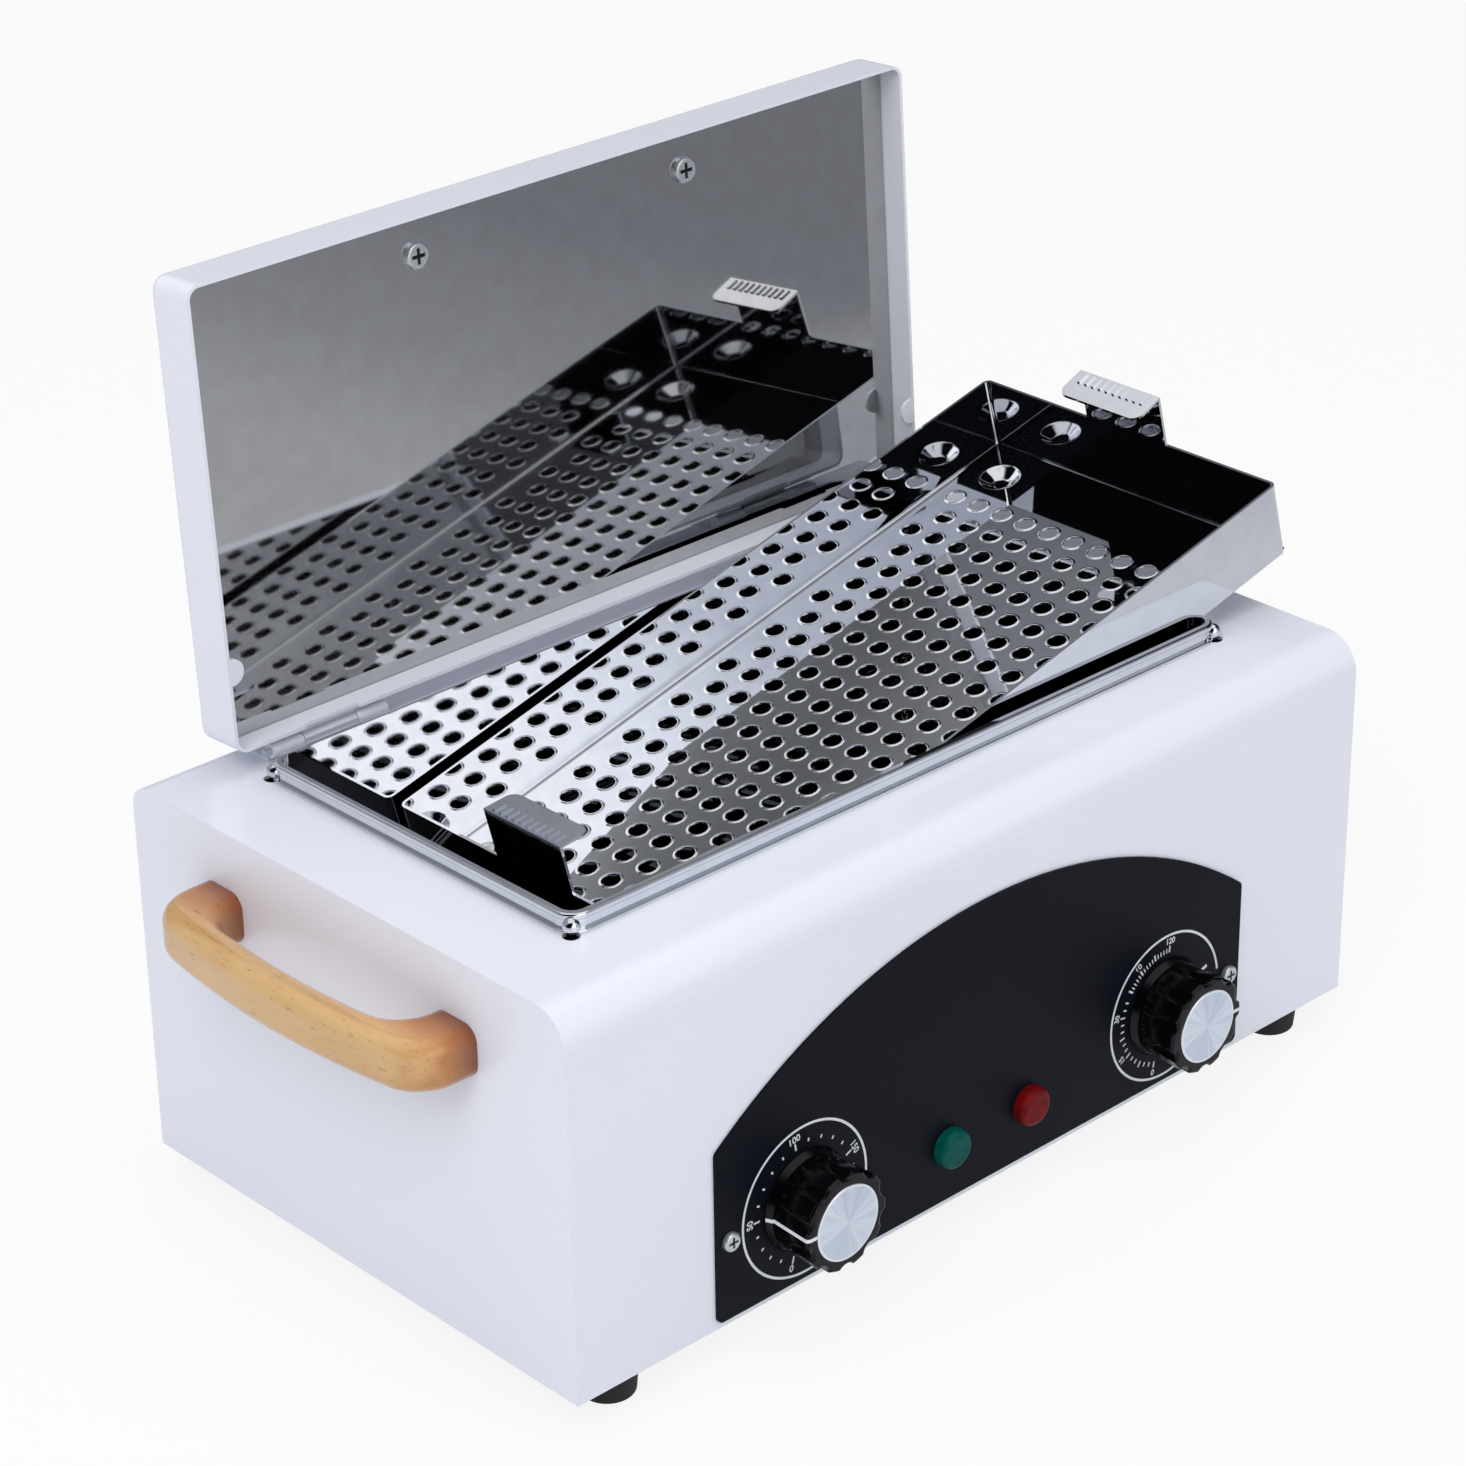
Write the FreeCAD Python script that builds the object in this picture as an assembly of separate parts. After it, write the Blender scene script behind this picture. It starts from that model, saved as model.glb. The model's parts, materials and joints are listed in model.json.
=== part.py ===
import FreeCAD, Part
import math
import os

V = FreeCAD.Vector

# Bench dry heat sterilizer with its lid open and the instrument tray leaning on the rim.
# Frame: X along the long side, Y to the back, Z up, millimetres.
# Origin: the middle of the body at the level that the feet stand on.

# Overall body
body_width = 360.0
body_depth = 210.0
body_height = 136.0
sheet = 1.2
front_bend_radius = 13.0
rear_bend_radius = 8.0
panel_plate = 1.5
panel_flange = 9.0
fit_gap = 0.3
frame_shift = 4.0
cut_over = 2.0

# Rubber feet
foot_height = 11.0
foot_top_radius = 10.0
foot_bottom_radius = 9.0
foot_inset_x = 23.0
foot_inset_y = 12.5
foot_edge_radius = 1.2
foot_recess_radius = 4.5
foot_recess_depth = 5.0

# Chamber tank
chamber_half_width = 145.2
chamber_to_front = 36.0
chamber_to_rear = 31.0
chamber_depth = 60.0
chamber_corner = 5.0
chamber_floor_bend = 4.0
tank_wall = 1.0
rim_width = 2.5
rim_height = 6.8
rim_edge_radius = 0.9
rim_roll_height = 2.4
rim_step = 0.7
rim_foot_height = 1.3
rim_foot_reach = 0.6
rim_foot_edge_radius = 0.5
rim_bead_radius = 2.9
relief_radius = 2.8

# Lid
lid_width = 310.5
lid_over_chamber = 7.0
lid_height = 19.9
lid_corner = 5.0
lid_top_edge_radius = 3.5
lid_sheet = 1.2
lid_open_angle = 93.3
lid_edge_below_axis = 3.9
lid_wall_from_axis = 4.8
liner_recess = 9.6
liner_sheet = 0.8
liner_flange = 3.0
liner_screw_radius = 4.6
liner_screw_height = 2.0
liner_screw_from_edge = 16.5
tab_width = 9.0
tab_reach = 5.0
tab_from_rear = 24.0
lid_notch = 1.6

# Lid handle
bow_length = 130.0
bow_height = 22.0
bow_thickness = 8.0
bow_width = 15.5
bow_screw_span = 117.2
bow_bend_radius = 9.0
bow_edge_radius = 3.0

# Hinges
hinge_from_lid_end = 15.6
hinge_length = 47.3
barrel_radius = 2.4
hinge_pin_radius = 1.3
hinge_axis_rise = 4.1
hinge_axis_behind = 10.2
hinge_leaf = 1.0
hinge_end_knuckle = 12.4
hinge_gap = 0.3
pin_overhang = 2.5
hinge_leaf_reach = 11.0
lid_leaf_reach = 13.0
hinge_screw_radius = 2.4
hinge_screw_height = 1.1
hinge_screw_shares = (0.25, 0.75)
hinge_screw_depth_share = 0.6

# Instrument tray
tray_end_gap = 0.7
tray_side_gap = 3.2
tray_height = 28.0
tray_wall = 1.0
tray_floor_sheet = 0.8
tray_corner = 2.6
tray_foot_x = 91.6
tray_centre_y = 3.0
tray_hole_radius = 3.3
tray_hole_pitch_long = 11.7
tray_hole_pitch_wide = 11.5
tray_margin_left = 20.0
tray_margin_right = 33.0
tray_margin_side = 8.0
dimple_radius = 8.2
dimple_tip_radius = 3.0
dimple_depth = 3.2
dimple_from_end = 17.1
dimple_from_side = 16.5
grip_width = 37.0
grip_rise = 19.5
grip_reach = 13.0
grip_drop = 2.0
grip_corner = 4.0
grip_rib_count = 10
grip_rib_width = 1.2
grip_rib_height = 0.6
grip_rib_length = 5.0

# Control panel
panel_half_width = 122.7
panel_bottom = 2.4
panel_side_top = 64.2
panel_apex = 107.0
panel_thick = 1.0
panel_corner = 2.5
panel_screw_x = 117.0
panel_screw_z = 31.0
panel_screw_radius = 3.3
panel_screw_height = 1.8
cross_arm_share = 0.6

# Dials
dial_x = 84.7
dial_z = 31.7
knob_skirt_radius = 17.9
knob_skirt_top_radius = 16.8
knob_skirt_height = 2.4
knob_neck_radius = 16.2
knob_body_radius = 17.3
knob_length = 18.4
knob_flute_count = 10
knob_flute_radius = 4.2
knob_flute_centre_radius = 19.9
knob_edge_radius = 1.2
knob_cap_radius = 13.2
knob_cap_height = 1.2
knob_gap = 0.5
shaft_radius = 3.0
shaft_in_knob = 12.0
shaft_in_switch = 9.0
shaft_clearance = 0.2
bush_radius = 4.8

# Pilot lamps
lamp_spacing = 37.4
lamp_middle = -1.3
lamp_z = 22.4
lamp_lens_radius = 6.9
lamp_lens_height = 4.6
lamp_edge_radius = 2.0
lamp_stem_radius = 4.6
lamp_body_length = 24.0
lamp_nut_across = 13.0
lamp_nut_height = 3.0

# Side handles
handle_length = 134.0
handle_reach = 29.0
handle_thick = 12.5
handle_tall = 18.0
handle_foot = 20.0
handle_centre_y = 2.2
handle_below_top = 29.2
handle_bow_rise = 6.9
handle_outer_corner = 17.0
handle_gap_radius = 13.0
handle_edge_radius = 5.5
handle_hole_span = 114.0
handle_screw_radius = 2.0
handle_screw_length = 14.0
screw_slack = 0.05
handle_screw_head_radius = 4.0
handle_screw_head = 2.2

# Parts inside
thermostat_width = 38.0
thermostat_height = 34.0
thermostat_depth = 30.0
switch_corner = 3.0
cutout_cap_share = 0.7
timer_radius = 21.0
timer_depth = 28.0
timer_plate = 46.0
timer_plate_thick = 1.5
shield_width = 240.0
shield_in_chamber = 15.5
shield_height = 16.0
shield_corner = 8.0
element_radius = 4.0
element_width = 200.0
element_in_shield = 20.0
element_bend_share = 0.28
clip_width = 14.0
clip_sheet = 1.0
clip_x = 60.0
bulb_radius = 3.0
bulb_length = 60.0
bulb_place_share = 0.25
capillary_radius = 0.9
capillary_bend = 6.0
cutout_radius = 8.0
cutout_height = 9.0
cutout_x = 50.0
stand_x = 101.0
stand_width = 20.0
stand_sheet = 1.5
stand_in_shield = 11.0
stand_foot = 12.0
blanket_thick = 12.0
blanket_drop = 8.0
block_length = 44.0
block_depth = 16.0
block_height = 15.0
block_x = 88.0
block_to_rear = 31.0
block_ways = 4
block_screw_radius = 2.2

# Cable gland
gland_x = 128.0
gland_z = 24.0
gland_bore = 3.6
gland_thread_radius = 6.0
gland_thread_length = 9.0
gland_hex = 15.0
gland_hex_length = 4.5
gland_dome_radius = 6.6
gland_dome_length = 9.0

# Levels and places worked out from the sizes above
base_level = foot_height
top_level = foot_height + body_height
front_face = -body_depth / 2
rear_face = body_depth / 2
side_face = body_width / 2
chamber_front = body_depth / 2 - chamber_to_front
chamber_back = body_depth / 2 - chamber_to_rear
lid_depth = chamber_front + chamber_back + 2 * lid_over_chamber
hinge_outer_x = lid_width / 2 - hinge_from_lid_end
tray_length = 2 * (chamber_half_width - tray_end_gap)
tray_width = chamber_front + chamber_back - 2 * tray_side_gap
shield_depth = chamber_front + chamber_back - 2 * shield_in_chamber
element_depth = shield_depth - 2 * element_in_shield
element_bend = element_depth * element_bend_share
bulb_y = element_depth * bulb_place_share
stand_depth = shield_depth - 2 * stand_in_shield
block_y = rear_face - block_to_rear
rim_top = top_level + rim_height
chamber_floor = rim_top - chamber_depth
tank_underside = chamber_floor - tank_wall
panel_face = front_face - panel_thick
dial_level = base_level + dial_z
axis_y = chamber_back + hinge_axis_behind
axis_z = top_level + hinge_axis_rise
shield_bottom = tank_underside - shield_height
lamp_places = (lamp_middle - lamp_spacing / 2, lamp_middle + lamp_spacing / 2)
handle_centre_z = body_height - handle_below_top
handle_bow_radius = (handle_length / 2) ** 2 / (2 * handle_bow_rise) + handle_bow_rise / 2
handle_holes_y = (handle_centre_y - handle_hole_span / 2, handle_centre_y + handle_hole_span / 2)


def centred(half):
    """Both signs of a distance from the middle."""
    return (-half, half)


def box(x0, x1, y0, y1, z0, z1):
    """Block between two corners."""
    return Part.makeBox(x1 - x0, y1 - y0, z1 - z0, V(x0, y0, z0))


def rod(radius, length, start, way):
    """Round bar from a start point along a direction."""
    return Part.makeCylinder(radius, length, start, way)


def rounded_outline(x0, x1, y0, y1, radius, z):
    """Closed wire of a rectangle with round corners at one level."""
    r = radius
    c = math.sqrt(0.5) * r
    edges = []
    edges.append(Part.LineSegment(V(x0 + r, y0, z), V(x1 - r, y0, z)).toShape())
    edges.append(Part.Arc(V(x1 - r, y0, z), V(x1 - r + c, y0 + r - c, z), V(x1, y0 + r, z)).toShape())
    edges.append(Part.LineSegment(V(x1, y0 + r, z), V(x1, y1 - r, z)).toShape())
    edges.append(Part.Arc(V(x1, y1 - r, z), V(x1 - r + c, y1 - r + c, z), V(x1 - r, y1, z)).toShape())
    edges.append(Part.LineSegment(V(x1 - r, y1, z), V(x0 + r, y1, z)).toShape())
    edges.append(Part.Arc(V(x0 + r, y1, z), V(x0 + r - c, y1 - r + c, z), V(x0, y1 - r, z)).toShape())
    edges.append(Part.LineSegment(V(x0, y1 - r, z), V(x0, y0 + r, z)).toShape())
    edges.append(Part.Arc(V(x0, y0 + r, z), V(x0 + r - c, y0 + r - c, z), V(x0 + r, y0, z)).toShape())
    return Part.Wire(edges)


def rounded_block(x0, x1, y0, y1, z0, z1, radius):
    """Block with round vertical corners."""
    face = Part.Face(rounded_outline(x0, x1, y0, y1, radius, z0))
    return face.extrude(V(0, 0, z1 - z0))


def prism(points, way):
    """Solid from a closed row of points pushed along a direction."""
    return Part.Face(Part.makePolygon(points + [points[0]])).extrude(way)


def hexagon(across, centre, way, height):
    """Hexagonal nut blank along Y or Z."""
    r = across / math.sqrt(3)
    points = []
    for k in range(6):
        a = math.radians(60 * k)
        if abs(way.y) > 0:
            points.append(centre + V(r * math.cos(a), 0, r * math.sin(a)))
        else:
            points.append(centre + V(r * math.cos(a), r * math.sin(a), 0))
    return prism(points, way * height)


def edges_at(shape, test):
    """Edges whose both ends and middle meet a test."""
    found = []
    for e in shape.Edges:
        a = e.valueAt(e.FirstParameter)
        b = e.valueAt((e.FirstParameter + e.LastParameter) / 2)
        if test(a) and test(b):
            found.append(e)
    return found


def near(a, b):
    """Whether two lengths are the same."""
    return abs(a - b) < fit_gap / 10


def fuse_all(shapes):
    """One solid from several that share volume or faces."""
    return shapes[0].fuse(shapes[1:]).removeSplitter()


def save(name, shape):
    """Writes one node, with the middle of the whole outline as the frame's origin."""
    moved = shape.copy()
    moved.translate(V(0, -frame_shift, 0))
    moved.exportStep("parts/" + name + ".step")


def body_section(x, inset):
    """Outline of the bent wrap in the YZ plane, moved in by a distance."""
    y0 = front_face + inset
    y1 = rear_face - inset
    z0 = base_level
    z1 = top_level - inset
    rf = front_bend_radius - inset
    rr = rear_bend_radius - inset
    cf = math.sqrt(0.5) * rf
    cr = math.sqrt(0.5) * rr
    edges = []
    edges.append(Part.LineSegment(V(x, y0, z0), V(x, y0, z1 - rf)).toShape())
    edges.append(Part.Arc(V(x, y0, z1 - rf), V(x, y0 + rf - cf, z1 - rf + cf), V(x, y0 + rf, z1)).toShape())
    edges.append(Part.LineSegment(V(x, y0 + rf, z1), V(x, y1 - rr, z1)).toShape())
    edges.append(Part.Arc(V(x, y1 - rr, z1), V(x, y1 - rr + cr, z1 - rr + cr), V(x, y1, z1 - rr)).toShape())
    edges.append(Part.LineSegment(V(x, y1, z1 - rr), V(x, y1, z0)).toShape())
    edges.append(Part.LineSegment(V(x, y1, z0), V(x, y0, z0)).toShape())
    return Part.Face(Part.Wire(edges))


def tank_block(grow, z0, z1):
    """Block of the chamber's outline, grown outwards."""
    return rounded_block(
        -chamber_half_width - grow, chamber_half_width + grow,
        -chamber_front - grow, chamber_back + grow, z0, z1, chamber_corner + grow)


def tank_corners(grow):
    """The four corners of the chamber's outline, grown outwards."""
    places = []
    for x in centred(chamber_half_width + grow):
        places.append((x, -chamber_front - grow))
        places.append((x, chamber_back + grow))
    return places


def make_wrap():
    """Front, top and back in one bent sheet with the cut-outs for what passes through."""
    x0 = -side_face + panel_plate
    length = body_width - 2 * panel_plate
    outer = body_section(x0, 0).extrude(V(length, 0, 0))
    inner = body_section(x0 - cut_over, sheet).extrude(V(length + 2 * cut_over, 0, 0))
    drop = box(x0 - cut_over, -x0 + cut_over, front_face + sheet, rear_face - sheet,
               base_level - cut_over, base_level + sheet)
    wrap = outer.cut([inner, drop])
    cuts = [tank_block(tank_wall + fit_gap, top_level - sheet - cut_over, top_level + cut_over)]
    reach = sheet + 2 * cut_over
    for x, y in tank_corners(tank_wall):
        cuts.append(rod(relief_radius, reach, V(x, y, top_level - sheet - cut_over), V(0, 0, 1)))
    start = front_face - cut_over
    for x in centred(dial_x):
        cuts.append(rod(bush_radius + fit_gap, reach, V(x, start, dial_level), V(0, 1, 0)))
    for x in lamp_places:
        cuts.append(rod(lamp_stem_radius + fit_gap, reach, V(x, start, base_level + lamp_z), V(0, 1, 0)))
    rear = rear_face - sheet - cut_over
    start = V(gland_x, rear, base_level + gland_z)
    cuts.append(rod(gland_thread_radius + fit_gap, reach, start, V(0, 1, 0)))
    return wrap.cut(cuts)


def make_end_panel(side):
    """Pressed end plate with a flange that sits inside the wrap."""
    outer_x = side * side_face
    inner_x = side * (side_face - panel_plate)
    plate = body_section(inner_x, 0).extrude(V(outer_x - inner_x, 0, 0))
    inset = sheet + fit_gap
    ring = body_section(inner_x, inset).extrude(V(-side * panel_flange, 0, 0))
    hollow = body_section(inner_x, inset + sheet).extrude(V(-side * (panel_flange + cut_over), 0, 0))
    low = box(-side_face, side_face, front_face + inset + sheet, rear_face - inset - sheet,
              base_level - cut_over, base_level + sheet + fit_gap)
    ring = ring.cut([hollow, low])
    low = base_level - cut_over
    trim = box(-side_face, side_face, front_face, rear_face, low, base_level + sheet + fit_gap)
    ring = ring.cut(trim)
    panel = fuse_all([plate, ring])
    holes = []
    for y in handle_holes_y:
        start = V(outer_x + side * cut_over, y, handle_centre_z + foot_height)
        length = panel_plate + 2 * cut_over
        holes.append(rod(handle_screw_radius + fit_gap, length, start, V(-side, 0, 0)))
    return panel.cut(holes)


def foot_places():
    """Centres of the four feet."""
    x = side_face - foot_inset_x
    y = body_depth / 2 - foot_inset_y
    return [(-x, -y), (x, -y), (-x, y), (x, y)]


def make_base_plate():
    """Floor pan with turned-up front and rear edges."""
    x = side_face - panel_plate - sheet - panel_flange
    y = body_depth / 2 - sheet - fit_gap
    rise = panel_flange
    plate = box(-x, x, -y, y, base_level, base_level + sheet)
    front = box(-x, x, -y, -y + sheet, base_level, base_level + rise)
    back = box(-x, x, y - sheet, y, base_level, base_level + rise)
    pan = fuse_all([plate, front, back])
    wings = box(-side_face + panel_plate, side_face - panel_plate, -y, y, base_level, base_level + sheet)
    pan = fuse_all([pan, wings])
    holes = []
    for fx, fy in foot_places():
        holes.append(rod(handle_screw_radius + fit_gap, sheet + 2 * cut_over,
                         V(fx, fy, base_level - cut_over), V(0, 0, 1)))
    return pan.cut(holes)


def make_feet():
    """Four turned rubber feet, each with a recess for its screw."""
    feet = []
    for x, y in foot_places():
        foot = Part.makeCone(foot_bottom_radius, foot_top_radius, foot_height, V(x, y, 0), V(0, 0, 1))
        foot = foot.makeFillet(foot_edge_radius, edges_at(foot, lambda p: near(p.z, 0)))
        recess = rod(foot_recess_radius, foot_recess_depth + cut_over, V(x, y, -cut_over), V(0, 0, 1))
        foot = foot.cut(recess)
        through = rod(handle_screw_radius + fit_gap, foot_height + cut_over, V(x, y, 0), V(0, 0, 1))
        feet.append(foot.cut(through))
    return Part.makeCompound(feet)


def make_foot_screws():
    """Pan-head screws that hold the feet to the floor pan."""
    screws = []
    for x, y in foot_places():
        seat = foot_recess_depth
        start = V(x, y, seat - handle_screw_head)
        head = rod(foot_recess_radius - fit_gap, handle_screw_head, start, V(0, 0, 1))
        length = base_level + sheet + handle_screw_head - seat
        stem = rod(handle_screw_radius, length, V(x, y, seat), V(0, 0, 1))
        nut_level = base_level + sheet
        nut = hexagon(2 * foot_recess_radius - sheet, V(x, y, nut_level), V(0, 0, 1), handle_screw_head)
        screws.append(fuse_all([head, stem, nut]))
    return Part.makeCompound(screws)


def make_tank():
    """Deep-drawn chamber with its rolled rim and corner beads."""
    shell = tank_block(tank_wall, tank_underside, rim_top - tank_wall)
    bottom = edges_at(shell, lambda p: near(p.z, tank_underside))
    shell = shell.makeFillet(chamber_floor_bend, bottom)
    low = rim_top - rim_roll_height
    roll = tank_block(rim_width, low, rim_top)
    roll = roll.makeFillet(rim_edge_radius, edges_at(roll, lambda p: near(p.z, rim_top) or near(p.z, low)))
    wall = tank_block(rim_width - rim_step, top_level, rim_top - rim_edge_radius)
    foot = tank_block(rim_width + rim_foot_reach, top_level, top_level + rim_foot_height)
    upper = edges_at(foot, lambda p: near(p.z, top_level + rim_foot_height))
    foot = foot.makeFillet(rim_foot_edge_radius, upper)
    under = tank_block(rim_width - rim_step - tank_wall, top_level - cut_over, rim_top - tank_wall)
    rim = fuse_all([roll, wall, foot]).cut(under)
    solid = shell.fuse(rim)
    beads = []
    shift = (rim_width + chamber_corner) * (1 - math.sqrt(0.5))
    for x, y in tank_corners(rim_width):
        bx = x - math.copysign(shift, x)
        by = y - math.copysign(shift, y)
        beads.append(Part.makeSphere(rim_bead_radius, V(bx, by, top_level + rim_bead_radius)))
    solid = solid.fuse(beads)
    hollow = tank_block(0, chamber_floor, rim_top + cut_over)
    floor_edges = edges_at(hollow, lambda p: near(p.z, chamber_floor))
    hollow = hollow.makeFillet(chamber_floor_bend - tank_wall, floor_edges)
    return solid.cut(hollow).removeSplitter()


def make_blanket():
    """Fibre blanket wrapped round the tank's walls."""
    low = tank_underside + chamber_floor_bend
    high = top_level - sheet - blanket_drop
    outer = tank_block(tank_wall + fit_gap + blanket_thick, low, high)
    inner = tank_block(tank_wall + fit_gap, low - cut_over, high + cut_over)
    return outer.cut(inner)


def make_shield():
    """Pan that holds the heating element against the underside of the tank."""
    x = shield_width / 2
    y = shield_depth / 2
    mid = (chamber_back - chamber_front) / 2
    outer = rounded_block(-x, x, mid - y, mid + y, shield_bottom, tank_underside, shield_corner)
    inner = rounded_block(-x + sheet, x - sheet, mid - y + sheet, mid + y - sheet,
                          shield_bottom + sheet, tank_underside + cut_over, shield_corner - sheet)
    pan = outer.cut(inner)
    hole = rod(capillary_radius + 2 * fit_gap, sheet + 2 * cut_over,
               V(-dial_x, -bulb_y, shield_bottom - cut_over), V(0, 0, 1))
    return pan.cut(hole)


def bent_tube(points, radius, bend):
    """Round tube along straight runs joined by arcs that touch both runs."""
    edges = []
    start = points[0]
    for i in range(1, len(points) - 1):
        a = points[i] - points[i - 1]
        b = points[i + 1] - points[i]
        a.normalize()
        b.normalize()
        turn = a.getAngle(b)
        cut = bend * math.tan(turn / 2)
        p = points[i] - a * cut
        q = points[i] + b * cut
        inward = b - a
        inward.normalize()
        hub = points[i] + inward * (bend / math.cos(turn / 2))
        edges.append(Part.LineSegment(start, p).toShape())
        edges.append(Part.Arc(p, hub - inward * bend, q).toShape())
        start = q
    edges.append(Part.LineSegment(start, points[-1]).toShape())
    way = points[1] - points[0]
    ring = Part.Wire(Part.makeCircle(radius, points[0], way))
    return Part.Wire(edges).makePipeShell([ring], True, False)


def make_element():
    """Tubular heating element bent to a long loop, with its two cold ends to the back."""
    x = element_width / 2
    y = element_depth / 2
    z = tank_underside - element_radius - fit_gap / 3
    gap = element_bend
    points = [V(gap, y, z), V(x, y, z), V(x, -y, z), V(-x, -y, z), V(-x, y, z), V(-gap, y, z)]
    return bent_tube(points, element_radius, element_bend)


def make_clips():
    """Two pressed saddles that hold the element down on the shield."""
    clips = []
    y = element_depth / 2
    low = shield_bottom + sheet
    level = tank_underside - 2 * element_radius - fit_gap
    for x in centred(clip_x):
        for side in (-1, 1):
            post = box(x - clip_width / 2, x + clip_width / 2, side * y - clip_width / 2,
                       side * y + clip_width / 2, low, level)
            void = box(x - clip_width, x + clip_width, side * y - clip_width / 2 + clip_sheet,
                       side * y + clip_width / 2 - clip_sheet, low - cut_over, level - clip_sheet)
            clips.append(post.cut(void))
    return Part.makeCompound(clips)


def make_stands():
    """Two hat-section bars that stand on the floor pan and carry the shield."""
    bars = []
    low = base_level + sheet
    half = stand_depth / 2
    for x in centred(stand_x):
        a = x - stand_width / 2
        b = x + stand_width / 2
        outer = box(a, b, -half, half, low, shield_bottom)
        inner = box(a - cut_over, b + cut_over, -half + stand_sheet, half - stand_sheet,
                    low - cut_over, shield_bottom - stand_sheet)
        bar = outer.cut(inner)
        front = box(a, b, -half - stand_foot, -half, low, low + stand_sheet)
        back = box(a, b, half, half + stand_foot, low, low + stand_sheet)
        bar = fuse_all([bar, front, back])
        ways = [rod(stand_width / 4, stand_sheet + 2 * cut_over, V(x, -half - cut_over, z), V(0, 1, 0))
                for z in (low + stand_width, shield_bottom - stand_width)]
        bars.append(bar.cut(ways))
    return Part.makeCompound(bars)


def switch_bush(x):
    """Threaded bush and nut that clamp a switch to the front wall."""
    start = V(x, front_face + fit_gap - panel_thick, dial_level)
    bush = rod(bush_radius, sheet + panel_thick, start, V(0, 1, 0))
    return bush


def make_thermostat():
    """Capillary thermostat: cased switch, front bush and terminal tags at the back."""
    y0 = front_face + sheet
    x = -dial_x
    w = thermostat_width / 2
    h = thermostat_height / 2
    case = box(x - w, x + w, y0, y0 + thermostat_depth, dial_level - h, dial_level + h)
    upright = [e for e in case.Edges if near(e.Vertexes[0].Point.x, e.Vertexes[1].Point.x)
               and near(e.Vertexes[0].Point.z, e.Vertexes[1].Point.z)]
    case = case.makeFillet(switch_corner, upright)
    tags = []
    for k in centred(w / 2):
        low = dial_level - h / 2
        tags.append(box(x + k - 2 * sheet, x + k + 2 * sheet, y0 + thermostat_depth,
                        y0 + thermostat_depth + 3 * switch_corner, low, low + sheet))
    body = fuse_all([case, switch_bush(x)] + tags)
    return body.cut(shaft_socket(x))


def shaft_socket(x):
    """Blind round hole in a switch in which its spindle turns."""
    start = V(x, front_face - panel_thick - cut_over, dial_level)
    length = cut_over + panel_thick + sheet + shaft_in_switch + shaft_clearance
    return rod(shaft_radius + shaft_clearance, length, start, V(0, 1, 0))


def make_timer():
    """Clockwork timer: round case on a square plate with a front bush."""
    y0 = front_face + sheet
    x = dial_x
    half = timer_plate / 2
    plate = box(x - half, x + half, y0, y0 + timer_plate_thick, dial_level - half + sheet, dial_level + half)
    upright = [e for e in plate.Edges if near(e.Vertexes[0].Point.x, e.Vertexes[1].Point.x)
               and near(e.Vertexes[0].Point.z, e.Vertexes[1].Point.z)]
    plate = plate.makeFillet(switch_corner, upright)
    case = rod(timer_radius, timer_depth, V(x, y0, dial_level), V(0, 1, 0))
    bell = rod(timer_radius / 2, timer_depth + 2 * switch_corner, V(x, y0, dial_level), V(0, 1, 0))
    body = fuse_all([plate, case, bell, switch_bush(x)])
    return body.cut(shaft_socket(x))


def make_bulb():
    """Sensing bulb under the tank and the capillary that leads to the thermostat."""
    z = tank_underside - bulb_radius - fit_gap / 3
    start = V(-dial_x + 2 * capillary_bend, -bulb_y, z)
    bulb = rod(bulb_radius, bulb_length, start, V(1, 0, 0))
    bulb = bulb.makeFillet(bulb_radius / 2, bulb.Edges[0:3:2])
    back = front_face + sheet + thermostat_depth
    low = dial_level + thermostat_height / 4
    points = [V(-dial_x, back, low), V(-dial_x, -bulb_y, low), V(-dial_x, -bulb_y, z),
              start + V(bulb_radius, 0, 0)]
    tube = bent_tube(points, capillary_radius, capillary_bend)
    return fuse_all([bulb, tube])


def make_cutout():
    """Thermal cut-out disc fixed to the underside of the shield."""
    start = V(cutout_x, 0, shield_bottom)
    disc = rod(cutout_radius, cutout_height / 2, start, V(0, 0, -1))
    cap = rod(cutout_radius * cutout_cap_share, cutout_height, start, V(0, 0, -1))
    return fuse_all([disc, cap])


def make_terminal_block():
    """Terminal block with its row of clamp screws."""
    x0 = block_x - block_length / 2
    y0 = block_y - block_depth / 2
    z0 = base_level + sheet
    block = box(x0, x0 + block_length, y0, y0 + block_depth, z0, z0 + block_height)
    pitch = block_length / block_ways
    cuts = []
    for k in range(block_ways):
        x = x0 + pitch * (k + 0.5)
        cuts.append(rod(block_screw_radius, block_height / 3 + cut_over,
                        V(x, block_y, z0 + block_height + cut_over), V(0, 0, -1)))
        cuts.append(rod(block_screw_radius, block_depth + 2 * cut_over,
                        V(x, y0 - cut_over, z0 + block_height / 3), V(0, 1, 0)))
    return block.cut(cuts)


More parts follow.
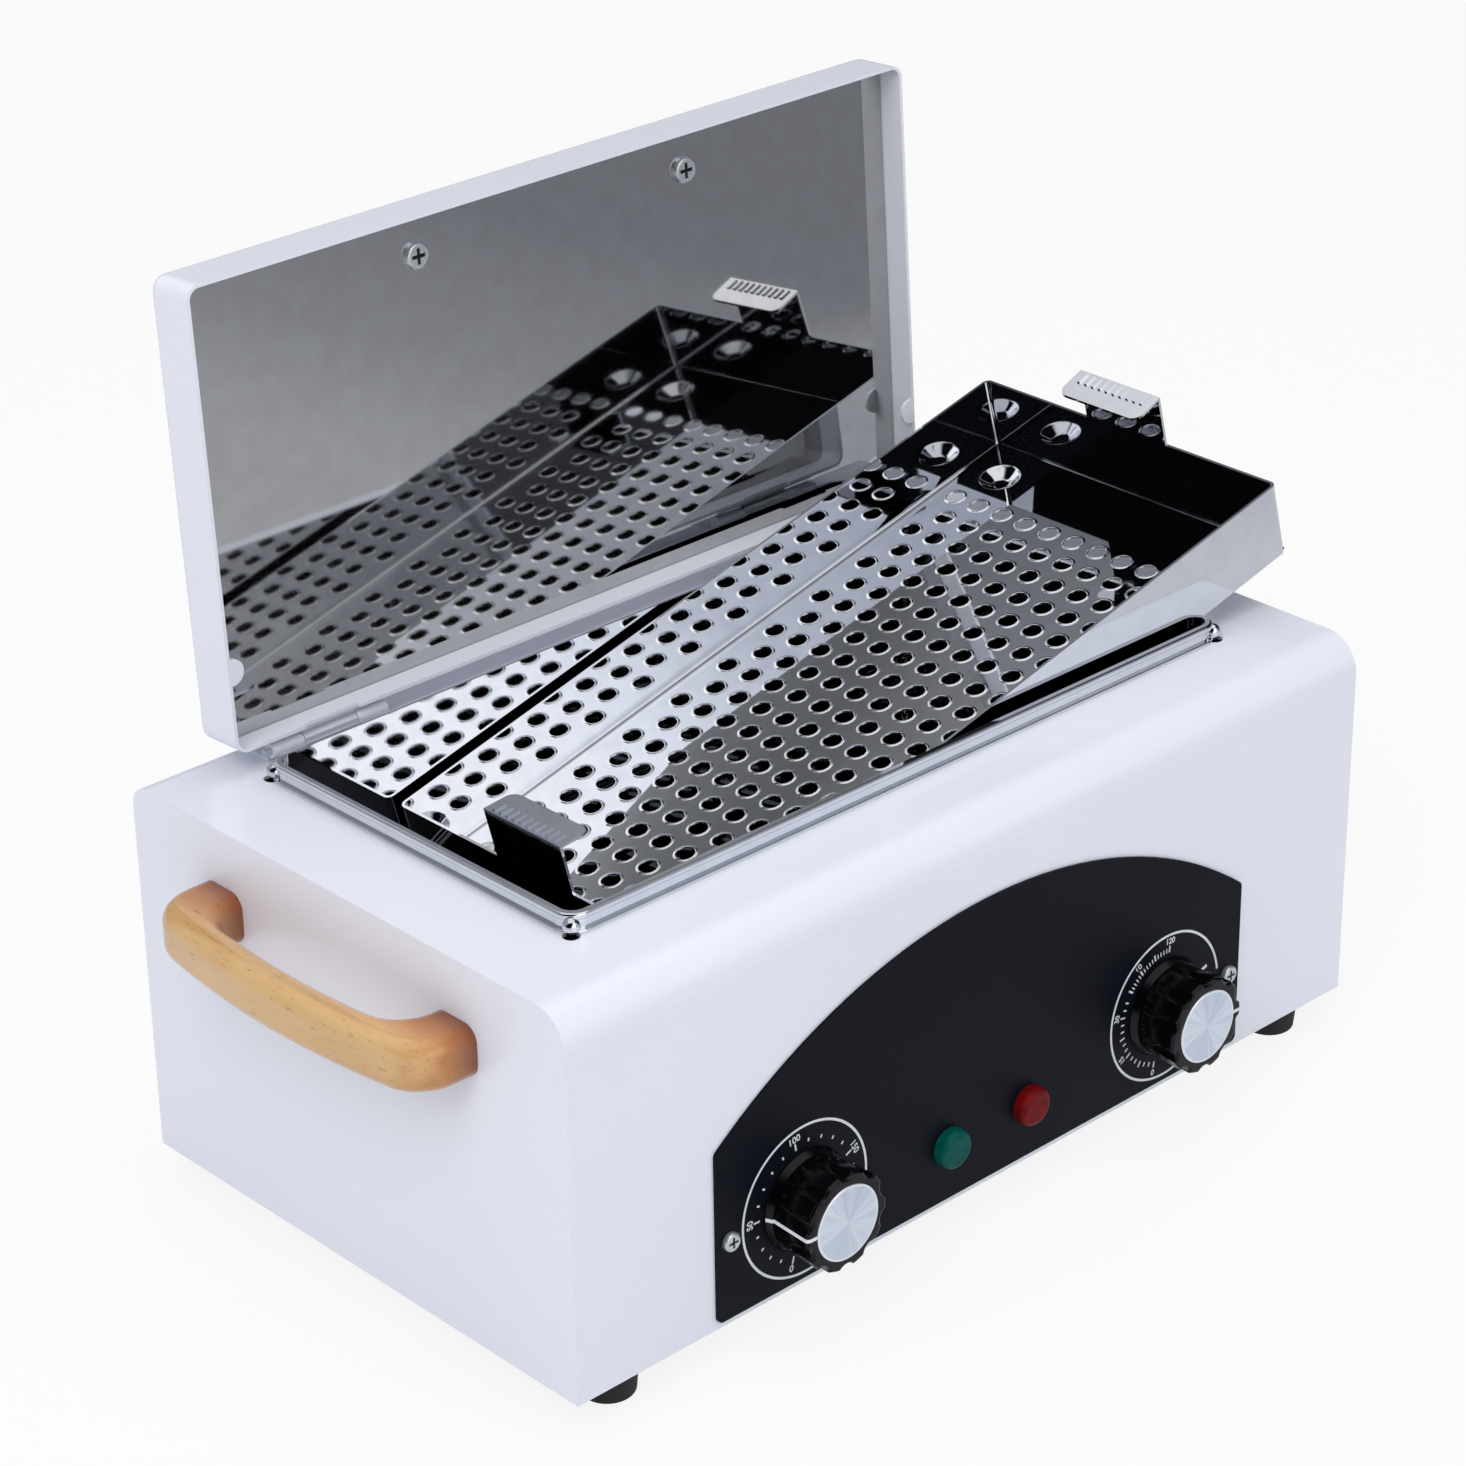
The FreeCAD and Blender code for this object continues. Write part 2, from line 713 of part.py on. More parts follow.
def make_gland():
    """Cable gland: thread and nut inside the rear wall, hexagon and dome outside."""
    z = base_level + gland_z
    inside = rear_face - sheet
    thread = rod(gland_thread_radius, gland_thread_length + sheet, V(gland_x, rear_face, z), V(0, -1, 0))
    hexa = hexagon(gland_hex, V(gland_x, rear_face, z), V(0, 1, 0), gland_hex_length)
    dome_start = V(gland_x, rear_face + gland_hex_length, z)
    dome = rod(gland_dome_radius, gland_dome_length, dome_start, V(0, 1, 0))
    tip = rear_face + gland_hex_length + gland_dome_length
    dome = dome.makeFillet(gland_dome_radius / 3, edges_at(dome, lambda p: near(p.y, tip)))
    nut = hexagon(gland_hex + sheet, V(gland_x, inside - gland_hex_length, z), V(0, 1, 0), gland_hex_length)
    body = fuse_all([thread, hexa, dome, nut])
    bore_start = V(gland_x, inside - gland_thread_length - cut_over, z)
    bore_length = gland_thread_length + sheet + gland_hex_length + gland_dome_length + 2 * cut_over
    return body.cut(rod(gland_bore, bore_length, bore_start, V(0, 1, 0)))


def make_control_panel():
    """Black plate with upright sides and an arched top edge."""
    x = panel_half_width
    y = panel_face
    z0 = base_level + panel_bottom
    z1 = base_level + panel_side_top
    z2 = base_level + panel_apex
    edges = []
    edges.append(Part.LineSegment(V(-x, y, z1), V(-x, y, z0)).toShape())
    edges.append(Part.LineSegment(V(-x, y, z0), V(x, y, z0)).toShape())
    edges.append(Part.LineSegment(V(x, y, z0), V(x, y, z1)).toShape())
    edges.append(Part.Arc(V(x, y, z1), V(0, y, z2), V(-x, y, z1)).toShape())
    plate = Part.Face(Part.Wire(edges)).extrude(V(0, panel_thick, 0))
    corners = []
    for e in plate.Edges:
        a = e.Vertexes[0].Point
        b = e.Vertexes[-1].Point
        if near(abs(a.x), x) and near(a.x, b.x) and near(a.z, b.z):
            corners.append(e)
    plate = plate.makeFillet(panel_corner, corners)
    holes = []
    length = panel_thick + 2 * cut_over
    for px in centred(dial_x):
        holes.append(rod(bush_radius + fit_gap, length, V(px, y - cut_over, dial_level), V(0, 1, 0)))
    for px in lamp_places:
        start = V(px, y - cut_over, base_level + lamp_z)
        holes.append(rod(lamp_stem_radius + fit_gap, length, start, V(0, 1, 0)))
    return plate.cut(holes)


def make_panel_screws():
    """Cross-head screws at both ends of the panel."""
    screws = []
    for x in centred(panel_screw_x):
        centre = V(x, panel_face, base_level + panel_screw_z)
        head = rod(panel_screw_radius, panel_screw_height, centre, V(0, -1, 0))
        face = panel_face - panel_screw_height
        head = head.makeFillet(panel_screw_height / 2, edges_at(head, lambda p: near(p.y, face)))
        arm = panel_screw_radius * cross_arm_share
        slot = panel_screw_radius / 7
        deep = panel_screw_height / 2
        across = box(x - arm, x + arm, face - cut_over, face + deep, centre.z - slot, centre.z + slot)
        upright = box(x - slot, x + slot, face - cut_over, face + deep, centre.z - arm, centre.z + arm)
        screws.append(head.cut([across, upright]))
    return Part.makeCompound(screws)


def make_lamp(x):
    """Pilot lamp lens: round-edged button with a stem through the panel."""
    z = base_level + lamp_z
    face = panel_face - lamp_lens_height
    lens = rod(lamp_lens_radius, lamp_lens_height, V(x, panel_face, z), V(0, -1, 0))
    lens = lens.makeFillet(lamp_edge_radius, edges_at(lens, lambda p: near(p.y, face)))
    stem = rod(lamp_stem_radius, panel_thick + sheet, V(x, panel_face, z), V(0, 1, 0))
    return fuse_all([lens, stem])


def make_lamp_bodies():
    """Lamp holders behind the front wall, each with its nut and two tags."""
    bodies = []
    for x in lamp_places:
        z = base_level + lamp_z
        y = front_face + sheet
        body = rod(lamp_stem_radius, lamp_body_length, V(x, y, z), V(0, 1, 0))
        nut = hexagon(lamp_nut_across, V(x, y, z), V(0, 1, 0), lamp_nut_height)
        end = y + lamp_body_length
        tags = []
        for k in centred(lamp_stem_radius / 2):
            tags.append(box(x + k - sheet / 2, x + k + sheet / 2, end, end + lamp_nut_height,
                            z - sheet, z + sheet))
        bodies.append(fuse_all([body, nut] + tags))
    return Part.makeCompound(bodies)


def make_knob(x):
    """Fluted skirted knob with a recess for its metal cap and a bore for the spindle."""
    y = panel_face - knob_gap
    z = dial_level
    front = y - knob_length
    seat = V(x, y, z)
    skirt = Part.makeCone(knob_skirt_radius, knob_skirt_top_radius, knob_skirt_height, seat, V(0, -1, 0))
    body = Part.makeCone(knob_neck_radius, knob_body_radius, knob_length, V(x, y, z), V(0, -1, 0))
    flutes = []
    for k in range(knob_flute_count):
        a = 2 * math.pi * (k + 0.5) / knob_flute_count
        fx = x + knob_flute_centre_radius * math.cos(a)
        fz = z + knob_flute_centre_radius * math.sin(a)
        start = V(fx, y - knob_skirt_height, fz)
        flutes.append(rod(knob_flute_radius, knob_length, start, V(0, -1, 0)))
    body = body.cut(flutes)
    body = body.makeFillet(knob_edge_radius, edges_at(body, lambda p: near(p.y, front)))
    knob = fuse_all([skirt, body])
    recess = rod(knob_cap_radius + fit_gap / 2, knob_cap_height + cut_over,
                 V(x, front + knob_cap_height, z), V(0, -1, 0))
    bore = rod(shaft_radius + screw_slack, shaft_in_knob + cut_over, V(x, y + cut_over, z), V(0, -1, 0))
    return knob.cut([recess, bore])


def make_knob_cap(x):
    """Turned metal disc set in the knob's face."""
    y = panel_face - knob_gap - knob_length + knob_cap_height
    cap = rod(knob_cap_radius, knob_cap_height + knob_cap_height / 3, V(x, y, dial_level), V(0, -1, 0))
    face = y - knob_cap_height - knob_cap_height / 3
    return cap.makeFillet(knob_cap_height / 3, edges_at(cap, lambda p: near(p.y, face)))


def make_shaft(x):
    """Flatted spindle from the switch into the knob."""
    y0 = panel_face - knob_gap - shaft_in_knob
    y1 = front_face + sheet + shaft_in_switch
    return rod(shaft_radius, y1 - y0, V(x, y0, dial_level), V(0, 1, 0))


def handle_plan(side, level):
    """Outline of the wooden handle seen from above, its arcs all tangent."""
    x0 = side * side_face
    half = handle_length / 2
    foot = half - handle_foot
    outer_r = handle_bow_radius
    inner_r = handle_bow_radius - handle_thick
    hub = handle_reach - outer_r
    corner = handle_outer_corner
    gap = handle_gap_radius
    cx = hub + math.sqrt((outer_r - corner) ** 2 - (half - corner) ** 2)
    gx = hub + math.sqrt((inner_r - gap) ** 2 - (foot - gap) ** 2)
    ca = math.atan2(half - corner, cx - hub)
    ga = math.atan2(foot - gap, gx - hub)

    def at(x, y):
        return V(x0 + side * x, handle_centre_y + y, level)

    def polar(px, py, radius, angle, sign):
        return at(px + radius * math.cos(angle), sign * (py + radius * math.sin(angle)))

    quarter = math.pi / 2
    mid = (ca + quarter) / 2
    gap_mid = (ga + quarter) / 2
    edges = []
    edges.append(Part.LineSegment(at(0, -half), at(cx, -half)).toShape())
    edges.append(Part.Arc(at(cx, -half), polar(cx, half - corner, corner, mid, -1),
                          polar(hub, 0, outer_r, ca, -1)).toShape())
    bow = Part.Arc(polar(hub, 0, outer_r, ca, -1), at(handle_reach, 0), polar(hub, 0, outer_r, ca, 1))
    edges.append(bow.toShape())
    edges.append(Part.Arc(polar(hub, 0, outer_r, ca, 1), polar(cx, half - corner, corner, mid, 1),
                          at(cx, half)).toShape())
    edges.append(Part.LineSegment(at(cx, half), at(0, half)).toShape())
    edges.append(Part.LineSegment(at(0, half), at(0, foot)).toShape())
    edges.append(Part.LineSegment(at(0, foot), at(gx, foot)).toShape())
    round_in = Part.Arc(at(gx, foot), polar(gx, foot - gap, gap, gap_mid, 1), polar(hub, 0, inner_r, ga, 1))
    edges.append(round_in.toShape())
    edges.append(Part.Arc(polar(hub, 0, inner_r, ga, 1), at(handle_reach - handle_thick, 0),
                          polar(hub, 0, inner_r, ga, -1)).toShape())
    edges.append(Part.Arc(polar(hub, 0, inner_r, ga, -1), polar(gx, foot - gap, gap, gap_mid, -1),
                          at(gx, -foot)).toShape())
    edges.append(Part.LineSegment(at(gx, -foot), at(0, -foot)).toShape())
    edges.append(Part.LineSegment(at(0, -foot), at(0, -half)).toShape())
    return Part.Face(Part.Wire(edges))


def make_side_handle(side):
    """Bow handle cut from beech board, its edges well rounded."""
    low = handle_centre_z + foot_height - handle_tall / 2
    high = low + handle_tall
    handle = handle_plan(side, low).extrude(V(0, 0, handle_tall))
    wall = side * side_face
    chosen = []
    for e in handle.Edges:
        a = e.valueAt(e.FirstParameter)
        b = e.valueAt((e.FirstParameter + e.LastParameter) / 2)
        level = near(a.z, b.z) and (near(a.z, low) or near(a.z, high))
        on_wall = near(a.x, wall) and near(b.x, wall)
        if level and not on_wall:
            chosen.append(e)
    handle = handle.makeFillet(handle_edge_radius, chosen)
    holes = []
    for y in handle_holes_y:
        start = V(wall - side * cut_over, y, handle_centre_z + foot_height)
        depth = handle_screw_length + cut_over
        holes.append(rod(handle_screw_radius + screw_slack, depth, start, V(side, 0, 0)))
    return handle.cut(holes)


def make_handle_screws():
    """Screws driven from inside the end panels into the handles."""
    screws = []
    for side in (-1, 1):
        for y in handle_holes_y:
            inner = side * (side_face - panel_plate)
            start = V(inner, y, handle_centre_z + foot_height)
            stem = rod(handle_screw_radius, panel_plate + handle_screw_length, start, V(side, 0, 0))
            head = rod(handle_screw_head_radius, handle_screw_head, start, V(-side, 0, 0))
            screws.append(fuse_all([stem, head]))
    return Part.makeCompound(screws)


def lid_to_open(shape):
    """Turns a lid piece from the closed place to the open one."""
    turned = shape.copy()
    turned.rotate(V(0, axis_y, axis_z), V(1, 0, 0), -lid_open_angle)
    return turned


# Lid outlines in the closed place
lid_edge = axis_z - lid_edge_below_axis
lid_top = lid_edge + lid_height
lid_rear = axis_y - lid_wall_from_axis
lid_front = lid_rear - lid_depth
liner_level = lid_edge + liner_recess


def lid_block(inset, z0, z1, radius):
    """Block of the lid's outline, moved in by a distance."""
    x = lid_width / 2 - inset
    return rounded_block(-x, x, lid_front + inset, lid_rear - inset, z0, z1, radius)


def knuckle_span(side, which):
    """Start and end along X of a knuckle: 0 outer, 1 middle, 2 inner."""
    outer = hinge_outer_x
    inner = hinge_outer_x - hinge_length
    if which == 0:
        a, b = outer, outer - hinge_end_knuckle
    elif which == 1:
        a, b = outer - hinge_end_knuckle - hinge_gap, inner + hinge_end_knuckle + hinge_gap
    else:
        a, b = inner + hinge_end_knuckle, inner
    return sorted((side * a, side * b))


def make_lid_shell():
    """Pressed white lid with round edges, edge tabs, handle holes and a notch over each middle knuckle."""
    outer = lid_block(0, lid_edge, lid_top, lid_corner)
    outer = outer.makeFillet(lid_top_edge_radius, edges_at(outer, lambda p: near(p.z, lid_top)))
    inner = lid_block(lid_sheet, lid_edge - cut_over, lid_top - lid_sheet, lid_corner - lid_sheet)
    crest = edges_at(inner, lambda p: near(p.z, lid_top - lid_sheet))
    inner = inner.makeFillet(lid_top_edge_radius - lid_sheet, crest)
    shell = outer.cut(inner)
    tabs = []
    for side in (-1, 1):
        x = side * (lid_width / 2 - lid_sheet)
        y = lid_rear - tab_from_rear - tab_width / 2
        middle = V(x - side * (tab_reach - tab_width / 2), y, lid_edge)
        plate = rod(tab_width / 2, lid_sheet, middle, V(0, 0, 1))
        neck_x = sorted((x, x - side * (tab_reach - tab_width / 2)))
        neck = box(neck_x[0], neck_x[1], y - tab_width / 2, y + tab_width / 2,
                   lid_edge, lid_edge + lid_sheet)
        tabs += [plate, neck]
    shell = fuse_all([shell] + tabs)
    cuts = []
    for side in (-1, 1):
        near_x, far_x = sorted((side * lid_width / 2, side * (lid_width / 2 + tab_width)))
        cuts.append(box(near_x, far_x, lid_front, lid_rear, lid_edge - cut_over, lid_edge + 2 * lid_sheet))
        a, b = knuckle_span(side, 1)
        cuts.append(box(a - fit_gap, b + fit_gap, lid_rear - lid_sheet - cut_over, lid_rear + cut_over,
                        lid_edge - cut_over, lid_edge + lid_notch))
    for x in centred(bow_screw_span / 2):
        cuts.append(rod(handle_screw_radius + fit_gap, lid_sheet + 2 * cut_over,
                        V(x, lid_front + liner_screw_from_edge, lid_top - lid_sheet - cut_over), V(0, 0, 1)))
    return lid_to_open(shell.cut(cuts))


def make_lid_liner():
    """Mirror-polished inner plate with a turned edge."""
    inset = lid_sheet + fit_gap
    radius = lid_corner - lid_sheet
    plate = lid_block(inset, liner_level, liner_level + liner_sheet + liner_flange, radius)
    hollow = lid_block(inset + liner_sheet, liner_level + liner_sheet,
                       liner_level + liner_sheet + liner_flange + cut_over, radius - liner_sheet)
    liner = plate.cut(hollow)
    holes = [rod(handle_screw_radius + fit_gap, liner_sheet + 2 * cut_over,
                 V(x, lid_front + liner_screw_from_edge, liner_level - cut_over), V(0, 0, 1))
             for x in centred(bow_screw_span / 2)]
    return lid_to_open(liner.cut(holes))


def make_lid_pad():
    """Insulation pad between the liner and the lid's top."""
    inset = lid_sheet + liner_sheet + 2 * fit_gap
    low = liner_level + liner_sheet + fit_gap / 2
    high = lid_top - lid_sheet - fit_gap / 2
    middle = high - lid_top_edge_radius
    pad = lid_block(inset, low, middle, lid_corner - lid_sheet)
    upper = lid_block(inset + lid_top_edge_radius, middle, high, lid_corner)
    pad = fuse_all([pad, upper])
    holes = [rod(handle_screw_radius + fit_gap, high - low + 2 * cut_over,
                 V(x, lid_front + liner_screw_from_edge, low - cut_over), V(0, 0, 1))
             for x in centred(bow_screw_span / 2)]
    return lid_to_open(pad.cut(holes))


def make_lid_screws():
    """Two long cross-head screws through the liner into the lid handle."""
    screws = []
    for x in centred(bow_screw_span / 2):
        y = lid_front + liner_screw_from_edge
        head = rod(liner_screw_radius, liner_screw_height, V(x, y, liner_level), V(0, 0, -1))
        face = liner_level - liner_screw_height
        head = head.makeFillet(liner_screw_height / 2, edges_at(head, lambda p: near(p.z, face)))
        arm = liner_screw_radius * cross_arm_share
        slot = liner_screw_radius / 7
        deep = liner_screw_height / 2
        across = box(x - arm, x + arm, y - slot, y + slot, face - cut_over, face + deep)
        upright = box(x - slot, x + slot, y - arm, y + arm, face - cut_over, face + deep)
        head = head.cut([across, upright])
        reach = lid_top - liner_level + bow_bend_radius
        stem = rod(handle_screw_radius, reach, V(x, y, liner_level), V(0, 0, 1))
        screws.append(fuse_all([head, stem]))
    return lid_to_open(Part.makeCompound(screws))


def arc_edge(first, middle, last):
    """Round edge through three points."""
    return Part.Arc(first, middle, last).toShape()


def make_lid_handle():
    """White moulded bow handle on top of the lid."""
    half = bow_length / 2
    y = lid_front + liner_screw_from_edge
    z0 = lid_top
    z1 = lid_top + bow_height
    r = bow_height - bow_edge_radius
    c = math.sqrt(0.5) * r
    t = bow_thickness
    ri = bow_bend_radius
    ci = math.sqrt(0.5) * ri
    foot = half - bow_thickness - bow_edge_radius
    y0 = y - bow_width / 2
    edges = []
    edges.append(Part.LineSegment(V(-half, y0, z0), V(-half, y0, z1 - r)).toShape())
    edges.append(arc_edge(V(-half, y0, z1 - r), V(-half + r - c, y0, z1 - r + c), V(-half + r, y0, z1)))
    edges.append(Part.LineSegment(V(-half + r, y0, z1), V(half - r, y0, z1)).toShape())
    edges.append(arc_edge(V(half - r, y0, z1), V(half - r + c, y0, z1 - r + c), V(half, y0, z1 - r)))
    edges.append(Part.LineSegment(V(half, y0, z1 - r), V(half, y0, z0)).toShape())
    edges.append(Part.LineSegment(V(half, y0, z0), V(foot, y0, z0)).toShape())
    top = z1 - t
    edges.append(Part.LineSegment(V(foot, y0, z0), V(foot, y0, top - ri)).toShape())
    bend = V(foot - ri + ci, y0, top - ri + ci)
    edges.append(arc_edge(V(foot, y0, top - ri), bend, V(foot - ri, y0, top)))
    edges.append(Part.LineSegment(V(foot - ri, y0, top), V(-foot + ri, y0, top)).toShape())
    bend = V(-foot + ri - ci, y0, top - ri + ci)
    edges.append(arc_edge(V(-foot + ri, y0, top), bend, V(-foot, y0, top - ri)))
    edges.append(Part.LineSegment(V(-foot, y0, top - ri), V(-foot, y0, z0)).toShape())
    edges.append(Part.LineSegment(V(-foot, y0, z0), V(-half, y0, z0)).toShape())
    bow = Part.Face(Part.Wire(edges)).extrude(V(0, bow_width, 0))
    chosen = []
    for e in bow.Edges:
        a = e.valueAt(e.FirstParameter)
        b = e.valueAt((e.FirstParameter + e.LastParameter) / 2)
        if near(a.y, b.y) and not (near(a.z, z0) and near(b.z, z0)):
            chosen.append(e)
    bow = bow.makeFillet(bow_edge_radius, chosen)
    bore = handle_screw_radius + screw_slack
    holes = [rod(bore, bow_bend_radius + cut_over, V(x, y, z0 - cut_over), V(0, 0, 1))
             for x in centred(bow_screw_span / 2)]
    return lid_to_open(bow.cut(holes))


def make_fixed_leaf(side):
    """Hinge leaf on the body's top: two end knuckles, neck and screwed plate."""
    pieces = []
    plate_y = axis_y + barrel_radius
    a = knuckle_span(side, 0)
    b = knuckle_span(side, 2)
    lo = min(a[0], b[0])
    hi = max(a[1], b[1])
    plate = box(lo, hi, plate_y, plate_y + hinge_leaf_reach, top_level, top_level + hinge_leaf)
    pieces.append(plate)
    for span in (a, b):
        length = span[1] - span[0]
        pieces.append(rod(barrel_radius, length, V(span[0], axis_y, axis_z), V(1, 0, 0)))
        pieces.append(box(span[0], span[1], axis_y + barrel_radius - hinge_leaf, axis_y + barrel_radius,
                          top_level, axis_z))
        pieces.append(box(span[0], span[1], axis_y + barrel_radius - hinge_leaf, plate_y + hinge_leaf,
                          top_level, top_level + hinge_leaf))
    leaf = fuse_all(pieces)
    bore = rod(hinge_pin_radius, hinge_length + 2 * cut_over, V(lo - cut_over, axis_y, axis_z), V(1, 0, 0))
    return leaf.cut(bore)


def make_hinge_screws():
    """Low screws through the fixed leaves."""
    screws = []
    for side in (-1, 1):
        lo, hi = sorted((side * hinge_outer_x, side * (hinge_outer_x - hinge_length)))
        for share in hinge_screw_shares:
            x = lo + (hi - lo) * share
            y = axis_y + barrel_radius + hinge_leaf_reach * hinge_screw_depth_share
            head = rod(hinge_screw_radius, hinge_screw_height, V(x, y, top_level + hinge_leaf), V(0, 0, 1))
            screws.append(head)
    return Part.makeCompound(screws)


def make_lid_leaf(side):
    """Hinge leaf on the outside of the lid's rear wall with the middle knuckle."""
    a, b = knuckle_span(side, 1)
    lo, hi = sorted((side * hinge_outer_x, side * (hinge_outer_x - hinge_length)))
    low = lid_edge + lid_notch
    leaf = box(lo, hi, lid_rear, lid_rear + hinge_leaf, low, low + lid_leaf_reach)
    neck = box(a, b, lid_rear, axis_y, axis_z - hinge_leaf / 2, axis_z + hinge_leaf / 2)
    barrel = rod(barrel_radius, b - a, V(a, axis_y, axis_z), V(1, 0, 0))
    solid = fuse_all([leaf, neck, barrel])
    start = V(a - cut_over, axis_y, axis_z)
    bore = rod(hinge_pin_radius + fit_gap / 2, b - a + 2 * cut_over, start, V(1, 0, 0))
    return lid_to_open(solid.cut(bore))


def make_hinge_pins():
    """One pin through each hinge, standing a little past its outer end."""
    pins = []
    for side in (-1, 1):
        lo, hi = sorted((side * (hinge_outer_x + pin_overhang), side * (hinge_outer_x - hinge_length)))
        pin = rod(hinge_pin_radius, hi - lo, V(lo, axis_y, axis_z), V(1, 0, 0))
        pins.append(pin)
    return Part.makeCompound(pins)


# The tray's lean: its low corner stands on the chamber floor and its floor lies on the far rim
tray_low_z = chamber_floor + fit_gap
tray_lean = math.atan2(rim_top + fit_gap - tray_low_z, chamber_half_width + tray_foot_x)


def tray_to_place(shape):
    """Moves a tray piece from its own level frame to the leaning place."""
    moved = shape.copy()
    moved.rotate(V(0, 0, 0), V(0, 1, 0), -math.degrees(tray_lean))
    moved.translate(V(-tray_foot_x, tray_centre_y, tray_low_z))
    return moved


def make_tray_frame():
    """Tray walls with the two ribbed end grips, made level with one corner at the origin."""
    half = tray_width / 2
    outer = rounded_block(0, tray_length, -half, half, 0, tray_height, tray_corner)
    inner = rounded_block(tray_wall, tray_length - tray_wall, -half + tray_wall, half - tray_wall,
                          -cut_over, tray_height + cut_over, tray_corner - tray_wall)
    pieces = [outer.cut(inner)]
    pieces.append(make_grip(0, 1))
    pieces.append(make_grip(tray_length, -1))
    return tray_to_place(fuse_all(pieces))


def make_grip(x, way):
    """Upright tab on an end wall with a flange bent over the tray and pressed ribs."""
    w = grip_width / 2
    z0 = tray_height
    z1 = tray_height + grip_rise
    t = tray_wall
    points = [V(x, -w, z0 - t), V(x, -w, z1), V(x + way * grip_reach, -w, z1 - grip_drop),
              V(x + way * grip_reach, -w, z1 - grip_drop - t), V(x + way * t, -w, z1 - t),
              V(x + way * t, -w, z0 - t)]
    tab = prism(points, V(0, grip_width, 0))
    free = [e for e in tab.Edges if near(e.Vertexes[0].Point.x, e.Vertexes[1].Point.x)
            and near(e.Vertexes[0].Point.x, x + way * grip_reach)
            and near(e.Vertexes[0].Point.y, e.Vertexes[1].Point.y)]
    tab = tab.makeFillet(grip_corner, free)
    ribs = []
    pitch = (grip_width - 2 * grip_corner) / (grip_rib_count - 1)
    for k in range(grip_rib_count):
        y = -w + grip_corner + pitch * k - grip_rib_width / 2
        a = x + way * t
        b = x + way * (t + grip_rib_length)
        slope = grip_drop / grip_reach
        za = z1 - slope * t - t / 2
        zb = z1 - slope * (t + grip_rib_length) - t / 2
        rib = prism([V(a, y, za), V(b, y, zb), V(b, y, zb + t / 2 + grip_rib_height),
                     V(a, y, za + t / 2 + grip_rib_height)], V(0, grip_rib_width, 0))
        ribs.append(rib)
    return fuse_all([tab] + ribs)


def make_tray_floor():
    """Perforated floor with four pressed dimple feet, made level and then placed."""
    half = tray_width / 2
    edge = tray_wall
    floor = rounded_block(edge, tray_length - edge, -half + edge, half - edge, 0, tray_floor_sheet,
                          tray_corner - tray_wall)
    span_long = tray_length - tray_margin_left - tray_margin_right
    span_wide = tray_width - 2 * tray_margin_side
    columns = int(span_long / tray_hole_pitch_long) + 1
    rows = int(span_wide / tray_hole_pitch_wide) + 1
    start_y = -(rows - 1) * tray_hole_pitch_wide / 2
    dimples = []
    for x in (dimple_from_end, tray_length - dimple_from_end):
        for y in centred(half - dimple_from_side):
            dimples.append((x, y))
    holes = []
    for i in range(columns):
        shift = (i % 2) / 2
        for j in range(rows - (i % 2)):
            x = tray_margin_left + tray_hole_pitch_long * i
            y = start_y + tray_hole_pitch_wide * (j + shift)
            clear = min(math.hypot(x - dx, y - dy) for dx, dy in dimples)
            if clear > dimple_radius + tray_hole_radius + tray_floor_sheet:
                holes.append(six_sided_hole(x, y))
    outline = Part.makeCompound(holes)
    floor = floor.cut(outline)
    feet = []
    hollows = []
    for x, y in dimples:
        start = V(x, y, -dimple_depth)
        feet.append(Part.makeCone(dimple_tip_radius, dimple_radius, dimple_depth, start, V(0, 0, 1)))
        rise = dimple_depth
        hollows.append(Part.makeCone(dimple_tip_radius, dimple_radius, rise,
                                     V(x, y, tray_floor_sheet - rise), V(0, 0, 1)))
    floor = floor.fuse(feet).cut(hollows).removeSplitter()
    return tray_to_place(floor)


def six_sided_hole(x, y):
    """Cutter for one floor hole."""
    points = []
    for k in range(6):
        a = math.radians(60 * k + 30)
        points.append(V(x + tray_hole_radius * math.cos(a), y + tray_hole_radius * math.sin(a), -cut_over))
    return prism(points, V(0, 0, tray_floor_sheet + 2 * cut_over))


